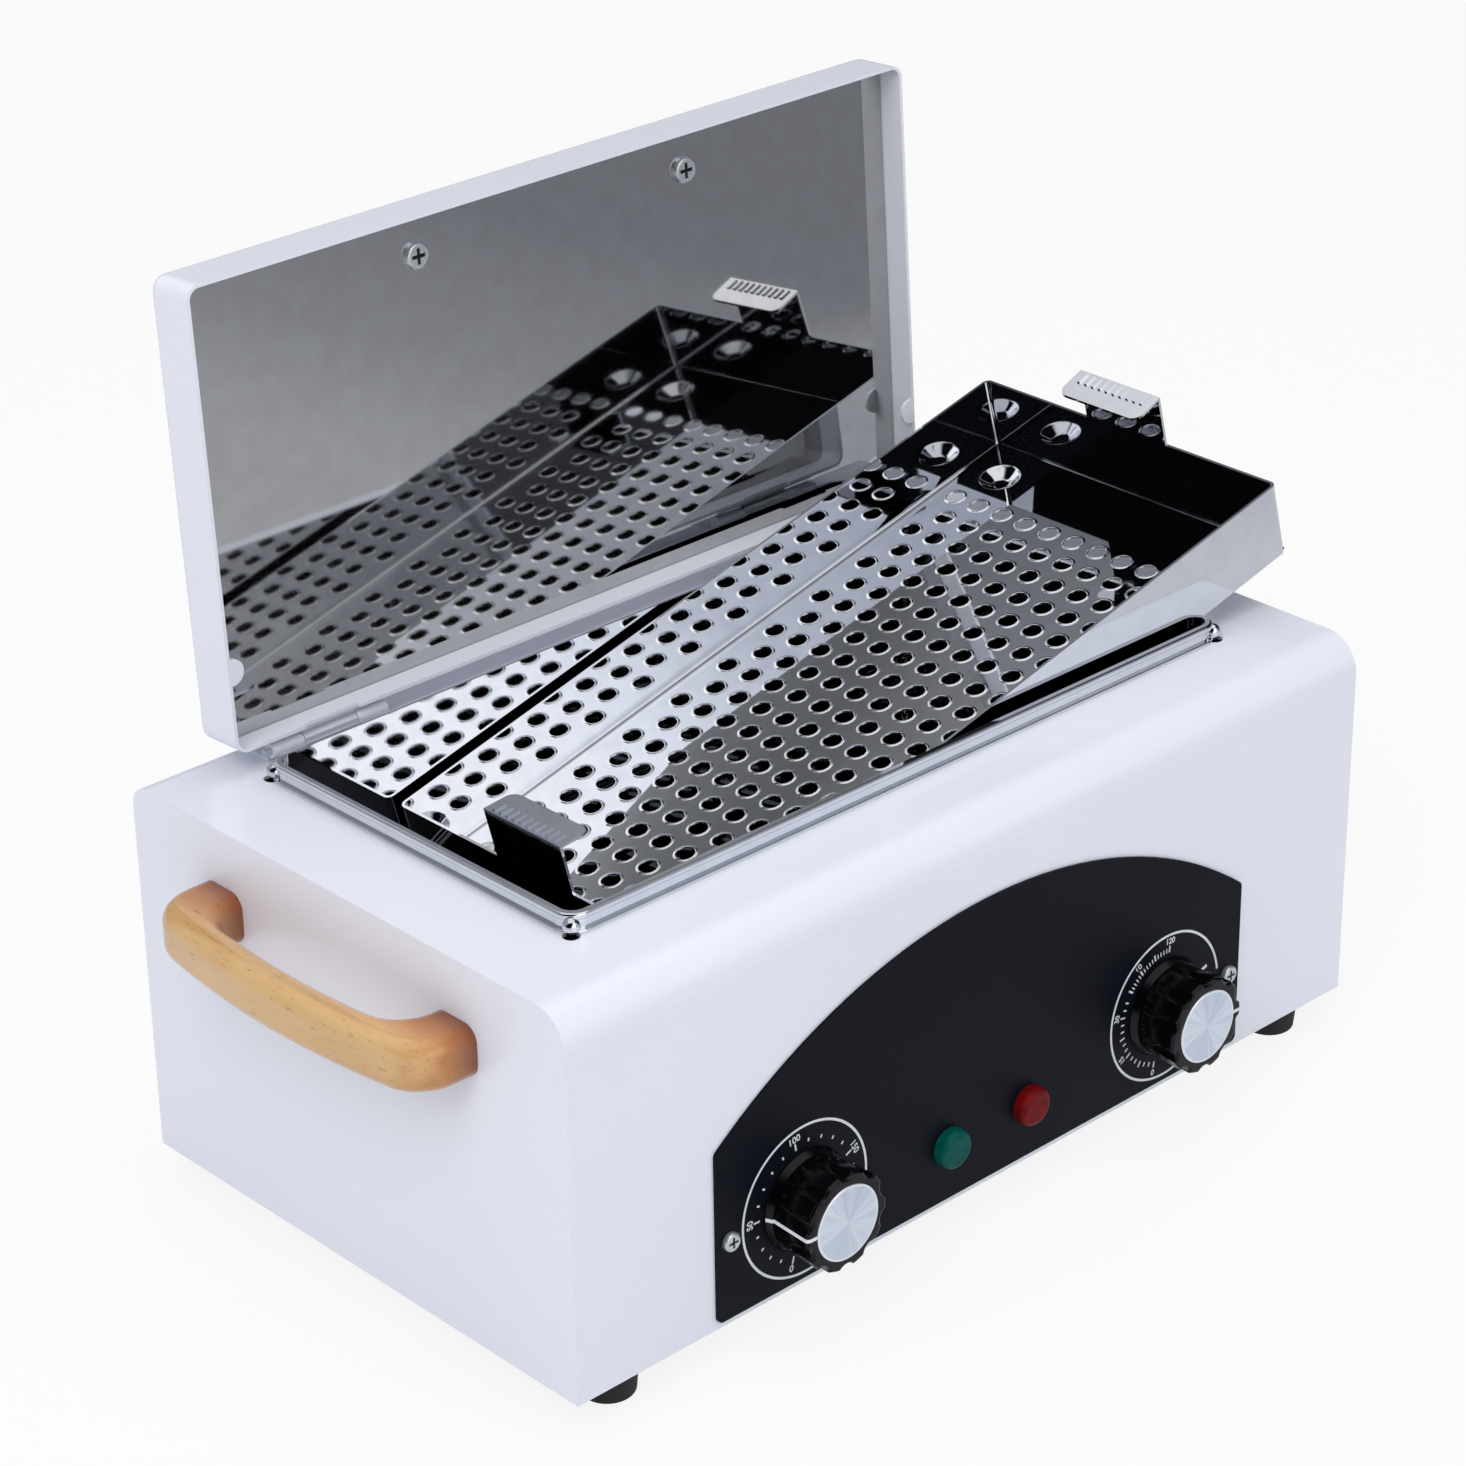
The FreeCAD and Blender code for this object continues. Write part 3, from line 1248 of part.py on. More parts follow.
def build():
    """Makes every piece and writes its file."""
    os.makedirs("parts", exist_ok=True)
    pieces = {
        "housing_wrap": make_wrap(),
        "left_end_panel": make_end_panel(-1),
        "right_end_panel": make_end_panel(1),
        "base_plate": make_base_plate(),
        "feet": make_feet(),
        "foot_screws": make_foot_screws(),
        "chamber_tank": make_tank(),
        "tank_insulation": make_blanket(),
        "element_shield": make_shield(),
        "heating_element": make_element(),
        "element_clips": make_clips(),
        "shield_stands": make_stands(),
        "thermostat": make_thermostat(),
        "thermostat_bulb": make_bulb(),
        "timer": make_timer(),
        "thermal_cutout": make_cutout(),
        "terminal_block": make_terminal_block(),
        "cable_gland": make_gland(),
        "control_panel": make_control_panel(),
        "panel_screws": make_panel_screws(),
        "green_lamp": make_lamp(lamp_places[0]),
        "red_lamp": make_lamp(lamp_places[1]),
        "lamp_bodies": make_lamp_bodies(),
        "temperature_knob": make_knob(-dial_x),
        "temperature_knob_cap": make_knob_cap(-dial_x),
        "temperature_shaft": make_shaft(-dial_x),
        "timer_knob": make_knob(dial_x),
        "timer_knob_cap": make_knob_cap(dial_x),
        "timer_shaft": make_shaft(dial_x),
        "left_handle": make_side_handle(-1),
        "right_handle": make_side_handle(1),
        "handle_screws": make_handle_screws(),
        "left_hinge_leaf": make_fixed_leaf(-1),
        "right_hinge_leaf": make_fixed_leaf(1),
        "hinge_screws": make_hinge_screws(),
        "hinge_pins": make_hinge_pins(),
        "lid_shell": make_lid_shell(),
        "lid_liner": make_lid_liner(),
        "lid_insulation": make_lid_pad(),
        "lid_handle": make_lid_handle(),
        "lid_handle_screws": make_lid_screws(),
        "left_lid_leaf": make_lid_leaf(-1),
        "right_lid_leaf": make_lid_leaf(1),
        "tray_frame": make_tray_frame(),
        "tray_floor": make_tray_floor(),
    }
    for name, shape in pieces.items():
        save(name, shape)
        print(name, len(shape.Solids), round(shape.Volume), shape.isValid())
    print("tray lean", round(math.degrees(tray_lean), 3))


build()
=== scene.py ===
import json
import logging
import math
from dataclasses import dataclass, field
from enum import Enum
from typing import Any, Sequence

import bpy
import numpy as np
from mathutils import Matrix
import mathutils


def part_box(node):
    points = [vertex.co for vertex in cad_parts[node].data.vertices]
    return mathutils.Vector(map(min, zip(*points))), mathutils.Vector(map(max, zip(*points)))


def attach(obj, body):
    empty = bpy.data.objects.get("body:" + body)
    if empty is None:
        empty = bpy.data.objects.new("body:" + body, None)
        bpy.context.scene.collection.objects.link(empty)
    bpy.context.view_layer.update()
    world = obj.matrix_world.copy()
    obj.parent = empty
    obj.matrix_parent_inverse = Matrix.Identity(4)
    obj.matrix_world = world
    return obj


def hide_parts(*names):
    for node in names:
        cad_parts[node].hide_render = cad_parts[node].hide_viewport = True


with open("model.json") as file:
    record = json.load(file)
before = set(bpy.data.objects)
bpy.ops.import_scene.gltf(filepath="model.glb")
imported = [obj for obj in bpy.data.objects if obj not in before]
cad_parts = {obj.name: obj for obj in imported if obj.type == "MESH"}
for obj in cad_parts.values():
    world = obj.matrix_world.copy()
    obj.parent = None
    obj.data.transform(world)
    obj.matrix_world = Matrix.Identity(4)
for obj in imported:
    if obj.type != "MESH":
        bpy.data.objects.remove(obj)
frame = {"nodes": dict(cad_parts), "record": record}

logging.basicConfig(level=logging.INFO, format="%(message)s")
log = logging.getLogger("sterilizer")

# Units: sizes are in millimetres, and Blender's metres come from MM. Angles are in degrees,
# anticlockwise from the right as seen from the front.
MM = 0.001
MICRON = 1e-6
PER_METRE = 1000.0
# Radians in a metre, for one turn in each millimetre
TURNS = 6283.0
# The front plate's face, and the two dials' spindles: left and right of the middle, at one level
PLATE_Y = -110.0
DIAL_X = 84.7
DIAL_Z = 42.7
# From this share of metal on, a finish keeps the default IOR
METAL_SHARE = 0.5
# Sockets of a colour mix node: its share, the two colours, and the colour that comes out
SHARE, FIRST, SECOND, MIXED = 0, 6, 7, 2

Array = np.ndarray
Object = bpy.types.Object
Material = bpy.types.Material
Tree = bpy.types.NodeTree
Node = bpy.types.Node
Socket = bpy.types.NodeSocket
Pair = tuple[float, float]
Vector = tuple[float, float, float]
Stops = tuple[tuple[float, str], ...]


class Body(Enum):
    """The bodies of the frame that new pieces ride on."""

    HOUSING = "housing"
    LID = "lid"
    TRAY = "tray"
    TEMPERATURE_DIAL = "temperature_dial"
    TIMER_DIAL = "timer_dial"


def linear(hex_colour: str) -> tuple[float, float, float, float]:
    """Turns an sRGB hex value to a linear colour.

    Args:
        hex_colour: a # and six hex digits.

    Returns:
        Red, green and blue, linear, and a full alpha.
    """
    parts = [int(hex_colour[i:i + 2], 16) / 255 for i in (1, 3, 5)]
    red, green, blue = (p / 12.92 if p <= 0.04045 else ((p + 0.055) / 1.055) ** 2.4 for p in parts)
    return (red, green, blue, 1.0)


def add(tree: Tree, kind: str, settings: dict[str, Any] | None = None, values: dict[Any, Any] | None = None,
        links: dict[Any, Socket] | None = None, stops: Stops = ()) -> Node:
    """Adds one node with its settings, socket values, incoming links and colour stops.

    Args:
        tree: the node tree.
        kind: the node's type name.
        settings: attributes of the node.
        values: input socket to value.
        links: input socket to the output socket that feeds it.
        stops: place and hex colour of each stop of a colour ramp.

    Returns:
        The new node.
    """
    node = tree.nodes.new(kind)
    for key, value in (settings or {}).items():
        setattr(node, key, value)
    for key, value in (values or {}).items():
        node.inputs[key].default_value = value
    for key, socket in (links or {}).items():
        tree.links.new(socket, node.inputs[key])
    for k, (place, colour) in enumerate(stops):
        if k in (0, len(stops) - 1):
            stop = node.color_ramp.elements[0 if k == 0 else -1]
            stop.position = place
        else:
            stop = node.color_ramp.elements.new(place)
        stop.color = linear(colour)
    return node


@dataclass(frozen=True)
class Finish:
    """A surface finish: plain shader values and a pattern worked out in millimetres.

    The pattern is noise of one grain size that moves the roughness a little and lifts the surface
    by a bump, over broad patches that vary the colour between two shades.
    """

    name: str
    base: str
    shade: str
    roughness: float
    metallic: float = 0.0
    coat: float = 0.0
    ior: float = 1.5
    grain_mm: float = 1.0
    bump_um: float = 0.0
    rough_span: float = 0.05
    stretch: Vector = (1.0, 1.0, 1.0)
    patch_mm: float = 60.0
    coat_roughness: float = 0.08

    def start(self) -> tuple[Material, Tree, Node, Socket]:
        """Makes an empty material.

        Returns:
            The material, its tree, its shader and object coordinates in metres.
        """
        material = bpy.data.materials.new(self.name)
        material.use_nodes = True
        tree = material.node_tree
        tree.nodes.clear()
        shader = add(tree, "ShaderNodeBsdfPrincipled", values={
            "Roughness": self.roughness, "Metallic": self.metallic, "Coat Weight": self.coat,
            "Coat Roughness": self.coat_roughness})
        if self.metallic < METAL_SHARE:
            shader.inputs["IOR"].default_value = self.ior
        add(tree, "ShaderNodeOutputMaterial", links={"Surface": shader.outputs[0]})
        place = add(tree, "ShaderNodeTexCoord").outputs["Object"]
        return material, tree, shader, place

    def connect(self, tree: Tree, shader: Node, colour: Socket, haze: Socket | None,
                height: Socket, lift_um: float) -> None:
        """Feeds the pattern to the shader: colour, roughness within its span, and a bump.

        Args:
            tree: the material's tree.
            shader: its shader.
            colour: the surface's colour.
            haze: what moves the roughness over its span, if anything does.
            height: what lifts the surface.
            lift_um: how far it is lifted, in micrometres, or 0 for no bump.
        """
        tree.links.new(colour, shader.inputs["Base Color"])
        if haze:
            low, high = max(0.0, self.roughness - self.rough_span), self.roughness + self.rough_span
            rough = add(tree, "ShaderNodeMapRange", values={"To Min": low, "To Max": high},
                        links={"Value": haze})
            tree.links.new(rough.outputs[0], shader.inputs["Roughness"])
        if lift_um:
            bump = add(tree, "ShaderNodeBump", values={"Strength": 1.0, "Distance": lift_um * MICRON},
                       links={"Height": height})
            tree.links.new(bump.outputs[0], shader.inputs["Normal"])

    def build(self) -> Material:
        """Makes the material.

        Returns:
            The finished material.
        """
        material, tree, shader, place = self.start()
        grain = add(tree, "ShaderNodeMapping", values={"Scale": self.stretch}, links={"Vector": place})
        fine = add(tree, "ShaderNodeTexNoise", values={"Scale": PER_METRE / self.grain_mm, "Detail": 3.0},
                   links={"Vector": grain.outputs[0]}).outputs[0]
        broad = add(tree, "ShaderNodeTexNoise", values={"Scale": PER_METRE / self.patch_mm, "Detail": 2.0},
                    links={"Vector": place}).outputs[0]
        colour = add(tree, "ShaderNodeValToRGB", links={0: broad},
                     stops=((0.3, self.shade), (0.7, self.base))).outputs[0]
        self.connect(tree, shader, colour, fine, fine, self.bump_um)
        return material


@dataclass(frozen=True)
class PolishedStainless(Finish):
    """Mirror-polished 304 stainless sheet: a sharp reflection that waves over the width of the sheet.

    Below one level the sheet can be coloured darker: a painted shade.
    """

    roughness: float = 0.03
    metallic: float = 1.0
    grain_mm: float = 8.0
    rough_span: float = 0.008
    wave_mm: float = 45.0
    wave_um: float = 6.0
    shade_below_mm: float = 0.0
    floor_shade: str = "#46474B"

    def build(self) -> Material:
        """Makes the material: a near-perfect mirror with slow waves and faint polishing haze.

        Returns:
            The finished material.
        """
        material, tree, shader, place = self.start()
        wave = add(tree, "ShaderNodeTexNoise", values={"Scale": PER_METRE / self.wave_mm, "Detail": 1.0},
                   links={"Vector": place}).outputs[0]
        haze = add(tree, "ShaderNodeTexNoise", values={"Scale": PER_METRE / self.grain_mm, "Detail": 4.0},
                   links={"Vector": place}).outputs[0]
        colour = add(tree, "ShaderNodeValToRGB", links={0: haze},
                     stops=((0.35, self.shade), (0.65, self.base))).outputs[0]
        # Painted shade: below the level the colour turns dark grey
        if self.shade_below_mm:
            level = add(tree, "ShaderNodeSeparateXYZ", links={0: place}).outputs[2]
            deep = add(tree, "ShaderNodeMath", {"operation": "LESS_THAN"}, {1: self.shade_below_mm * MM},
                       {0: level})
            colour = add(tree, "ShaderNodeMix", {"data_type": "RGBA"}, {SECOND: linear(self.floor_shade)},
                         {SHARE: deep.outputs[0], FIRST: colour}).outputs[MIXED]
        self.connect(tree, shader, colour, haze, wave, self.wave_um)
        return material


@dataclass(frozen=True)
class TurnedFace(Finish):
    """Aluminium disc turned on a lathe: fine circles, and a painted highlight that fans out from the
    centre.

    The cutter's real circles are about 0.1 mm apart. They are drawn at 0.5 mm, so that they show.
    """

    centre: Pair = (0.0, 0.0)
    ring_mm: float = 0.5
    # Painted highlight: from this radius out, the bevel takes the near-white rim colour
    rim_mm: float = 12.3
    rim: str = "#FBFCFE"
    fans: float = 2.0
    fan_start: float = 2.35
    fan_share: float = 0.12
    streaks: float = 3.2

    def build(self) -> Material:
        """Makes the material: rings as a bump, a painted bevel highlight by the distance from the centre,
        painted glare fans by the angle.

        Returns:
            The finished material.
        """
        material, tree, shader, place = self.start()
        parts = add(tree, "ShaderNodeSeparateXYZ", links={0: place}).outputs
        dx, dz = (add(tree, "ShaderNodeMath", {"operation": "SUBTRACT"}, {1: middle}, {0: part}).outputs[0]
                  for middle, part in zip(self.centre, (parts[0], parts[2])))
        angle = add(tree, "ShaderNodeMath", {"operation": "ARCTAN2"}, links={0: dz, 1: dx}).outputs[0]
        flat = add(tree, "ShaderNodeCombineXYZ", links={0: dx, 1: dz})
        reach = add(tree, "ShaderNodeVectorMath", {"operation": "LENGTH"},
                    links={0: flat.outputs[0]}).outputs["Value"]
        # Painted highlight: glare fans and streaks by the angle, put into the colour
        turn = add(tree, "ShaderNodeMath", {"operation": "MULTIPLY_ADD"}, {1: self.fans, 2: self.fan_start},
                   {0: angle})
        fan = add(tree, "ShaderNodeMath", {"operation": "SINE"}, links={0: turn.outputs[0]})
        streak = add(tree, "ShaderNodeTexNoise", {"noise_dimensions": "1D"},
                     {"Scale": self.streaks, "Detail": 2.5}, {"W": angle})
        glare = add(tree, "ShaderNodeMath", {"operation": "MULTIPLY_ADD"}, {1: self.fan_share},
                    {0: fan.outputs[0], 2: streak.outputs[0]})
        face = add(tree, "ShaderNodeValToRGB", links={0: glare.outputs[0]},
                   stops=((0.25, self.shade), (0.75, self.base))).outputs[0]
        # Painted highlight on the bevel
        edge = add(tree, "ShaderNodeMath", {"operation": "GREATER_THAN"}, {1: self.rim_mm * MM}, {0: reach})
        colour = add(tree, "ShaderNodeMix", {"data_type": "RGBA"}, {SECOND: linear(self.rim)},
                     {SHARE: edge.outputs[0], FIRST: face}).outputs[MIXED]
        rings = add(tree, "ShaderNodeMath", {"operation": "MULTIPLY"}, {1: TURNS / self.ring_mm},
                    {0: reach})
        groove = add(tree, "ShaderNodeMath", {"operation": "SINE"}, links={0: rings.outputs[0]}).outputs[0]
        self.connect(tree, shader, colour, None, groove, self.bump_um)
        return material


@dataclass(frozen=True)
class Beech(Finish):
    """Varnished beech: short darker flecks along the grain under a clear coat, and a painted shade on the
    legs.
    """

    light: str = "#DDBB89"
    fleck: str = "#B8936C"
    fleck_mm: float = 0.9
    fleck_share: float = 0.75
    band_stretch: Vector = (1.0, 0.12, 1.0)
    fleck_stretch: Vector = (1.0, 0.16, 1.0)
    housing_shade_mm: Pair = (181.0, 204.0)
    housing_shade_stops: Stops = ((0.0, "#A86A30"), (0.45, "#DFB27C"), (0.75, "#FBEBD6"), (1.0, "#FFFBF4"))

    def build(self) -> Material:
        """Makes the material: growth bands along Y, short flecks, and a painted shade, darker and browner
        towards the screwed ends.

        Returns:
            The finished material.
        """
        material, tree, shader, place = self.start()
        along = add(tree, "ShaderNodeMapping", values={"Scale": self.band_stretch}, links={"Vector": place})
        bands = add(tree, "ShaderNodeTexNoise", values={
            "Scale": PER_METRE / self.patch_mm, "Detail": 5.0, "Distortion": 0.6},
            links={"Vector": along.outputs[0]})
        along = add(tree, "ShaderNodeMapping", values={"Scale": self.fleck_stretch},
                    links={"Vector": place})
        flecks = add(tree, "ShaderNodeTexNoise", values={"Scale": PER_METRE / self.fleck_mm, "Detail": 2.0},
                     links={"Vector": along.outputs[0]}).outputs[0]
        wood = add(tree, "ShaderNodeValToRGB", links={0: bands.outputs[0]},
                   stops=((0.25, self.shade), (0.5, self.base), (0.75, self.light)))
        dots = add(tree, "ShaderNodeValToRGB", links={0: flecks},
                   stops=((0.62, "#FFFFFF"), (0.78, self.fleck)))
        flecked = add(tree, "ShaderNodeMix", {"data_type": "RGBA", "blend_type": "MULTIPLY"},
                      {SHARE: self.fleck_share}, {FIRST: wood.outputs[0], SECOND: dots.outputs[0]})
        # Painted shade: darker and browner where the legs meet the housing, by the distance from the middle
        parts = add(tree, "ShaderNodeSeparateXYZ", links={0: place})
        side = add(tree, "ShaderNodeMath", {"operation": "ABSOLUTE"}, links={0: parts.outputs[0]})
        start, end = self.housing_shade_mm
        reach = add(tree, "ShaderNodeMapRange", values={"From Min": start * MM, "From Max": end * MM},
                    links={"Value": side.outputs[0]})
        housing_shade = add(tree, "ShaderNodeValToRGB", links={0: reach.outputs[0]}, stops=self.housing_shade_stops)
        colour = add(tree, "ShaderNodeMix", {"data_type": "RGBA", "blend_type": "MULTIPLY"}, {SHARE: 1.0},
                     {FIRST: flecked.outputs[MIXED], SECOND: housing_shade.outputs[0]}).outputs[MIXED]
        self.connect(tree, shader, colour, None, flecks, self.bump_um)
        return material


# Record slot, or the name of a finish of one node's own, to finish
FINISHES: dict[str, Finish] = {
    # Stove enamel on sheet steel: cool white, glossy, with a faint orange peel
    "white_enamel": Finish("stove_enamel_white", "#E9ECF6", "#E6E9F3", 0.25, coat=0.3, grain_mm=3.0,
                           rough_span=0.01, patch_mm=140.0),
    # Zinc-plated sheet inside and below: grey with a spangle
    "zinc_sheet": Finish("zinc_plated_sheet", "#B4B7BA", "#9A9DA1", 0.38, metallic=1.0, grain_mm=2.0,
                         bump_um=2.0, patch_mm=9.0),
    # Moulded rubber: matt, slightly dusty
    "black_rubber": Finish("moulded_rubber", "#1B1B1C", "#131314", 0.75, grain_mm=0.5, bump_um=12.0),
    # Nickel-plated steel screws: bright, softly rounded glints
    "steel_screw": Finish("nickel_plated_steel", "#DCDEE2", "#C9CCD1", 0.3, metallic=0.8, grain_mm=0.4,
                          bump_um=1.0, patch_mm=5.0),
    # Polished 304 stainless sheet of the tray: a clear mirror with slow waves
    "mirror_stainless": PolishedStainless("polished_stainless", "#DEE0E4", "#D8DADF"),
    # The same sheet as the lid's liner, coloured darker: a painted shade that dims its mirror
    "liner_stainless": PolishedStainless("polished_liner_stainless", "#BFBFBE", "#BAB9B8"),
    # The chamber, whose floor over the heating element is coloured dark grey: a painted shade
    "tank_stainless": PolishedStainless("stainless_painted_floor_shade", "#DEE0E4", "#D8DADF", shade_below_mm=96.0),
    # Stamped hinge steel: satin with light along the roll, its grain coarser than real so that it shows
    "hinge_steel": Finish("satin_hinge_steel", "#E6E9F0", "#D5D9E2", 0.3, metallic=0.6, grain_mm=0.4,
                          bump_um=2.0, stretch=(0.05, 1.0, 1.0)),
    # Ceramic fibre blanket: off-white, matt and lumpy
    "fibre_blanket": Finish("ceramic_fibre", "#E9E5DA", "#D8D2C4", 0.95, grain_mm=1.2, bump_um=200.0),
    # Heater sheath: drawn nickel alloy, browned by its own heat
    "element_sheath": Finish("heater_sheath", "#6B6764", "#4D4A48", 0.45, metallic=1.0, grain_mm=0.8,
                             bump_um=4.0),
    # Drawn copper: warm and bright, lightly tarnished
    "copper_tube": Finish("drawn_copper", "#C98A62", "#A86C48", 0.3, metallic=1.0, grain_mm=0.6,
                          bump_um=2.0),
    # Moulded phenolic of the switches' cases: cream, half matt
    "switch_case": Finish("moulded_phenolic", "#CFC9BC", "#BFB8A8", 0.5, grain_mm=0.8, bump_um=6.0),
    # Moulded nylon of the gland: black with a fine texture
    "gland_plastic": Finish("moulded_nylon", "#1C1D1F", "#151617", 0.45, grain_mm=0.5, bump_um=8.0),
    # Screen-printed front plate: near-black with a blue cast and a soft satin glare
    "panel_black": Finish("printed_front_plate", "#0C0F19", "#0A0D15", 0.5, ior=1.2, grain_mm=0.35,
                          rough_span=0.03, patch_mm=90.0),
    # Unlit pilot lenses: deep coloured acrylic, rippled at its face
    "green_lens": Finish("green_acrylic", "#025A51", "#02443F", 0.35, ior=1.2, grain_mm=1.8, bump_um=45.0,
                         patch_mm=3.0),
    "red_lens": Finish("red_acrylic", "#780D11", "#570A0D", 0.35, ior=1.2, grain_mm=1.8, bump_um=45.0,
                       patch_mm=3.0),
    # Moulded phenolic knob: piano black
    "knob_black": Finish("moulded_knob_black", "#040507", "#030405", 0.2, ior=1.35, grain_mm=0.6,
                         rough_span=0.01, patch_mm=20.0),
    # Varnished beech: warm, with short flecks and a gloss over them
    "beech": Beech("varnished_beech", "#D2AC78", "#C0955E", 0.32, coat=0.8, bump_um=6.0, patch_mm=9.0),
    # Bottom of a screw's recess: near-black, a painted shade
    "recess_dark": Finish("recess_painted_shade", "#08080A", "#060607", 0.8, grain_mm=0.5, patch_mm=4.0),
    # Screen ink on the plate and the knobs: flat white
    "print_white": Finish("white_screen_ink", "#E6E8EC", "#D5D8DE", 0.55, grain_mm=0.3, bump_um=1.0,
                          patch_mm=6.0),
}
# Nodes with a finish of their own
NODE_FINISHES = {"lid_liner": "liner_stainless", "chamber_tank": "tank_stainless"}


@dataclass
class Palette:
    """All finishes of the sterilizer, each made once."""

    made: dict[str, Material] = field(default_factory=dict)

    def __getitem__(self, slot: str) -> Material:
        """The material of a slot, made on first use.

        Args:
            slot: a name in the finish table.

        Returns:
            The material.
        """
        if slot not in self.made:
            self.made[slot] = FINISHES[slot].build()
        return self.made[slot]

    def turned_cap(self, name: str) -> Material:
        """Turned aluminium whose circles run round the middle of one cap.

        Args:
            name: the cap's node.

        Returns:
            The material.
        """
        low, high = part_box(name)
        centre = ((low[0] + high[0]) / 2, (low[2] + high[2]) / 2)
        return TurnedFace("turned_" + name, "#F1F6FE", "#D2DBEA", 0.3, metallic=0.9, bump_um=3.0,
                          centre=centre).build()

    def coat_nodes(self) -> None:
        """Gives every CAD node the material of its record slot, or its own."""
        for entry in frame["record"]["subparts"]:
            name, slot = entry["node"], entry["material_slot"]
            if slot == "turned_aluminium":
                material = self.turned_cap(name)
            else:
                material = self[NODE_FINISHES.get(name, slot)]
            node = frame["nodes"][name]
            node.data.materials.clear()
            node.data.materials.append(material)
            log.info("node %s in %s", name, material.name)


def mesh_piece(name: str, points: Array, faces: Sequence[Array]) -> Object:
    """Smooth-shaded object from points and faces.

    Args:
        name: the piece's name.
        points: array of xyz in metres.
        faces: blocks of rows of vertex numbers, each block with one number of corners.

    Returns:
        The object, with its place in its mesh.
    """
    mesh = bpy.data.meshes.new(name)
    mesh.from_pydata(points.tolist(), [], [row for block in faces for row in block.tolist()])
    mesh.validate()
    mesh.polygons.foreach_set("use_smooth", np.ones(len(mesh.polygons), bool))
    mesh.update()
    piece = bpy.data.objects.new(name, mesh)
    bpy.context.scene.collection.objects.link(piece)
    return piece


def grid_mesh(name: str, points: Array) -> Object:
    """Four-sided faces between the neighbours of a grid of points.

    Args:
        name: the piece's name.
        points: array of rows, columns and xyz in metres.

    Returns:
        The object.
    """
    index = np.arange(points[..., 0].size).reshape(points.shape[:2])
    quads = np.stack([index[:-1, :-1], index[:-1, 1:], index[1:, 1:], index[1:, :-1]], axis=-1)
    return mesh_piece(name, points.reshape(-1, 3), [quads.reshape(-1, 4)])


def dress(piece: Object, material: Material, body: Body) -> Object:
    """Gives a new piece its material and body.

    Args:
        piece: the object.
        material: its material.
        body: the body it rides on.

    Returns:
        The piece.
    """
    piece.data.materials.clear()
    piece.data.materials.append(material)
    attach(piece, body.value)
    log.info("piece %s on %s", piece.name, body.value)
    return piece


@dataclass
class TrayPlace:
    """The tray's own level frame and how it leans in the chamber."""

    length: float = 289.0
    width: float = 136.6
    foot_x: float = -91.6
    rest_x: float = 145.2
    centre_y: float = -1.0
    low_z: float = 94.1
    climb: float = 60.0

    def place(self, points: Array) -> Array:
        """Tray points to the frame's: a turn about Y by the lean, then a move.

        The lean climbs from the low edge on the chamber's floor to the far rim that the floor rests on.

        Args:
            points: array of xyz in millimetres in the tray's frame.

        Returns:
            The same points in metres in the frame.
        """
        lean = math.atan2(self.climb, self.rest_x - self.foot_x)
        c, s = math.cos(lean), math.sin(lean)
        x = points[..., 0] * c - points[..., 2] * s + self.foot_x
        z = points[..., 0] * s + points[..., 2] * c + self.low_z
        y = points[..., 1] + self.centre_y
        return np.stack([x, y, z], axis=-1) * MM


class Sheet:
    """Flat sheet on a grid of lines, in which blocks of squares give way to round forms."""

    def __init__(self, xs: Array, ys: Array, rise: Array) -> None:
        """Lays the grid.

        Args:
            xs: places of the lines across.
            ys: places of the lines along.
            rise: height of each crossing.
        """
        self.xs, self.ys = xs, ys
        grid_x, grid_y = np.meshgrid(xs, ys, indexing="ij")
        self.index = np.arange(rise.size).reshape(rise.shape)
        self.points = [np.stack([grid_x.ravel(), grid_y.ravel(), rise.ravel()], axis=1)]
        self.total = rise.size
        self.faces: list[Array] = []
        self.taken = np.zeros((len(xs) - 1, len(ys) - 1), bool)

    def border(self, i: int, j: int, n: int) -> Array:
        """Vertex numbers round a block of n by n squares, anticlockwise."""
        return np.concatenate([self.index[i:i + n, j], self.index[i + n, j:j + n],
                               self.index[i + n:i:-1, j + n], self.index[i, j + n:j:-1]])

    def press(self, i: int, j: int, n: int, profile: Array, pole: float | None = None) -> None:
        """Puts rings in a block: from its border inwards to a profile, carried round the block's middle.

        Args:
            i: the block's first square across.
            j: its first square along.
            n: squares on a side.
            profile: rows of radius and height, from the outside in.
            pole: height of a closing point in the middle, if the form is closed.
        """
        edge = self.border(i, j, n)
        centre = np.array([(self.xs[i] + self.xs[i + n]) / 2, (self.ys[j] + self.ys[j + n]) / 2])
        spokes = self.points[0][edge, :2] - centre
        spokes = spokes / np.linalg.norm(spokes, axis=1)[:, None]
        count = len(edge)
        xy = centre + profile[:, None, :1] * spokes[None]
        z = np.broadcast_to(profile[:, None, 1:], (len(profile), count, 1))
        self.points.append(np.concatenate([xy, z], axis=2).reshape(-1, 3))
        levels = [edge] + [self.total + count * k + np.arange(count) for k in range(len(profile))]
        self.total += count * len(profile)
        for outer, inner in zip(levels, levels[1:]):
            self.faces.append(np.stack([outer, np.roll(outer, -1), np.roll(inner, -1), inner], axis=1))
        if pole is not None:
            self.points.append(np.array([[centre[0], centre[1], pole]]))
            last = levels[-1]
            self.faces.append(np.stack([last, np.roll(last, -1), np.full(count, self.total)], axis=1))
            self.total += 1
        self.taken[i:i + n, j:j + n] = True

    def close(self) -> tuple[Array, list[Array]]:
        """Fills the free squares and drops the points that nothing uses.

        Returns:
            The points, and the faces in blocks.
        """
        i, j = np.argwhere(~self.taken).T
        corners = [self.index[i, j], self.index[i + 1, j], self.index[i + 1, j + 1], self.index[i, j + 1]]
        blocks = self.faces + [np.stack(corners, axis=1)]
        cloud = np.concatenate(self.points)
        used = np.unique(np.concatenate([block.ravel() for block in blocks]))
        renumber = np.full(len(cloud), -1)
        renumber[used] = np.arange(len(used))
        return cloud[used], [renumber[block] for block in blocks]


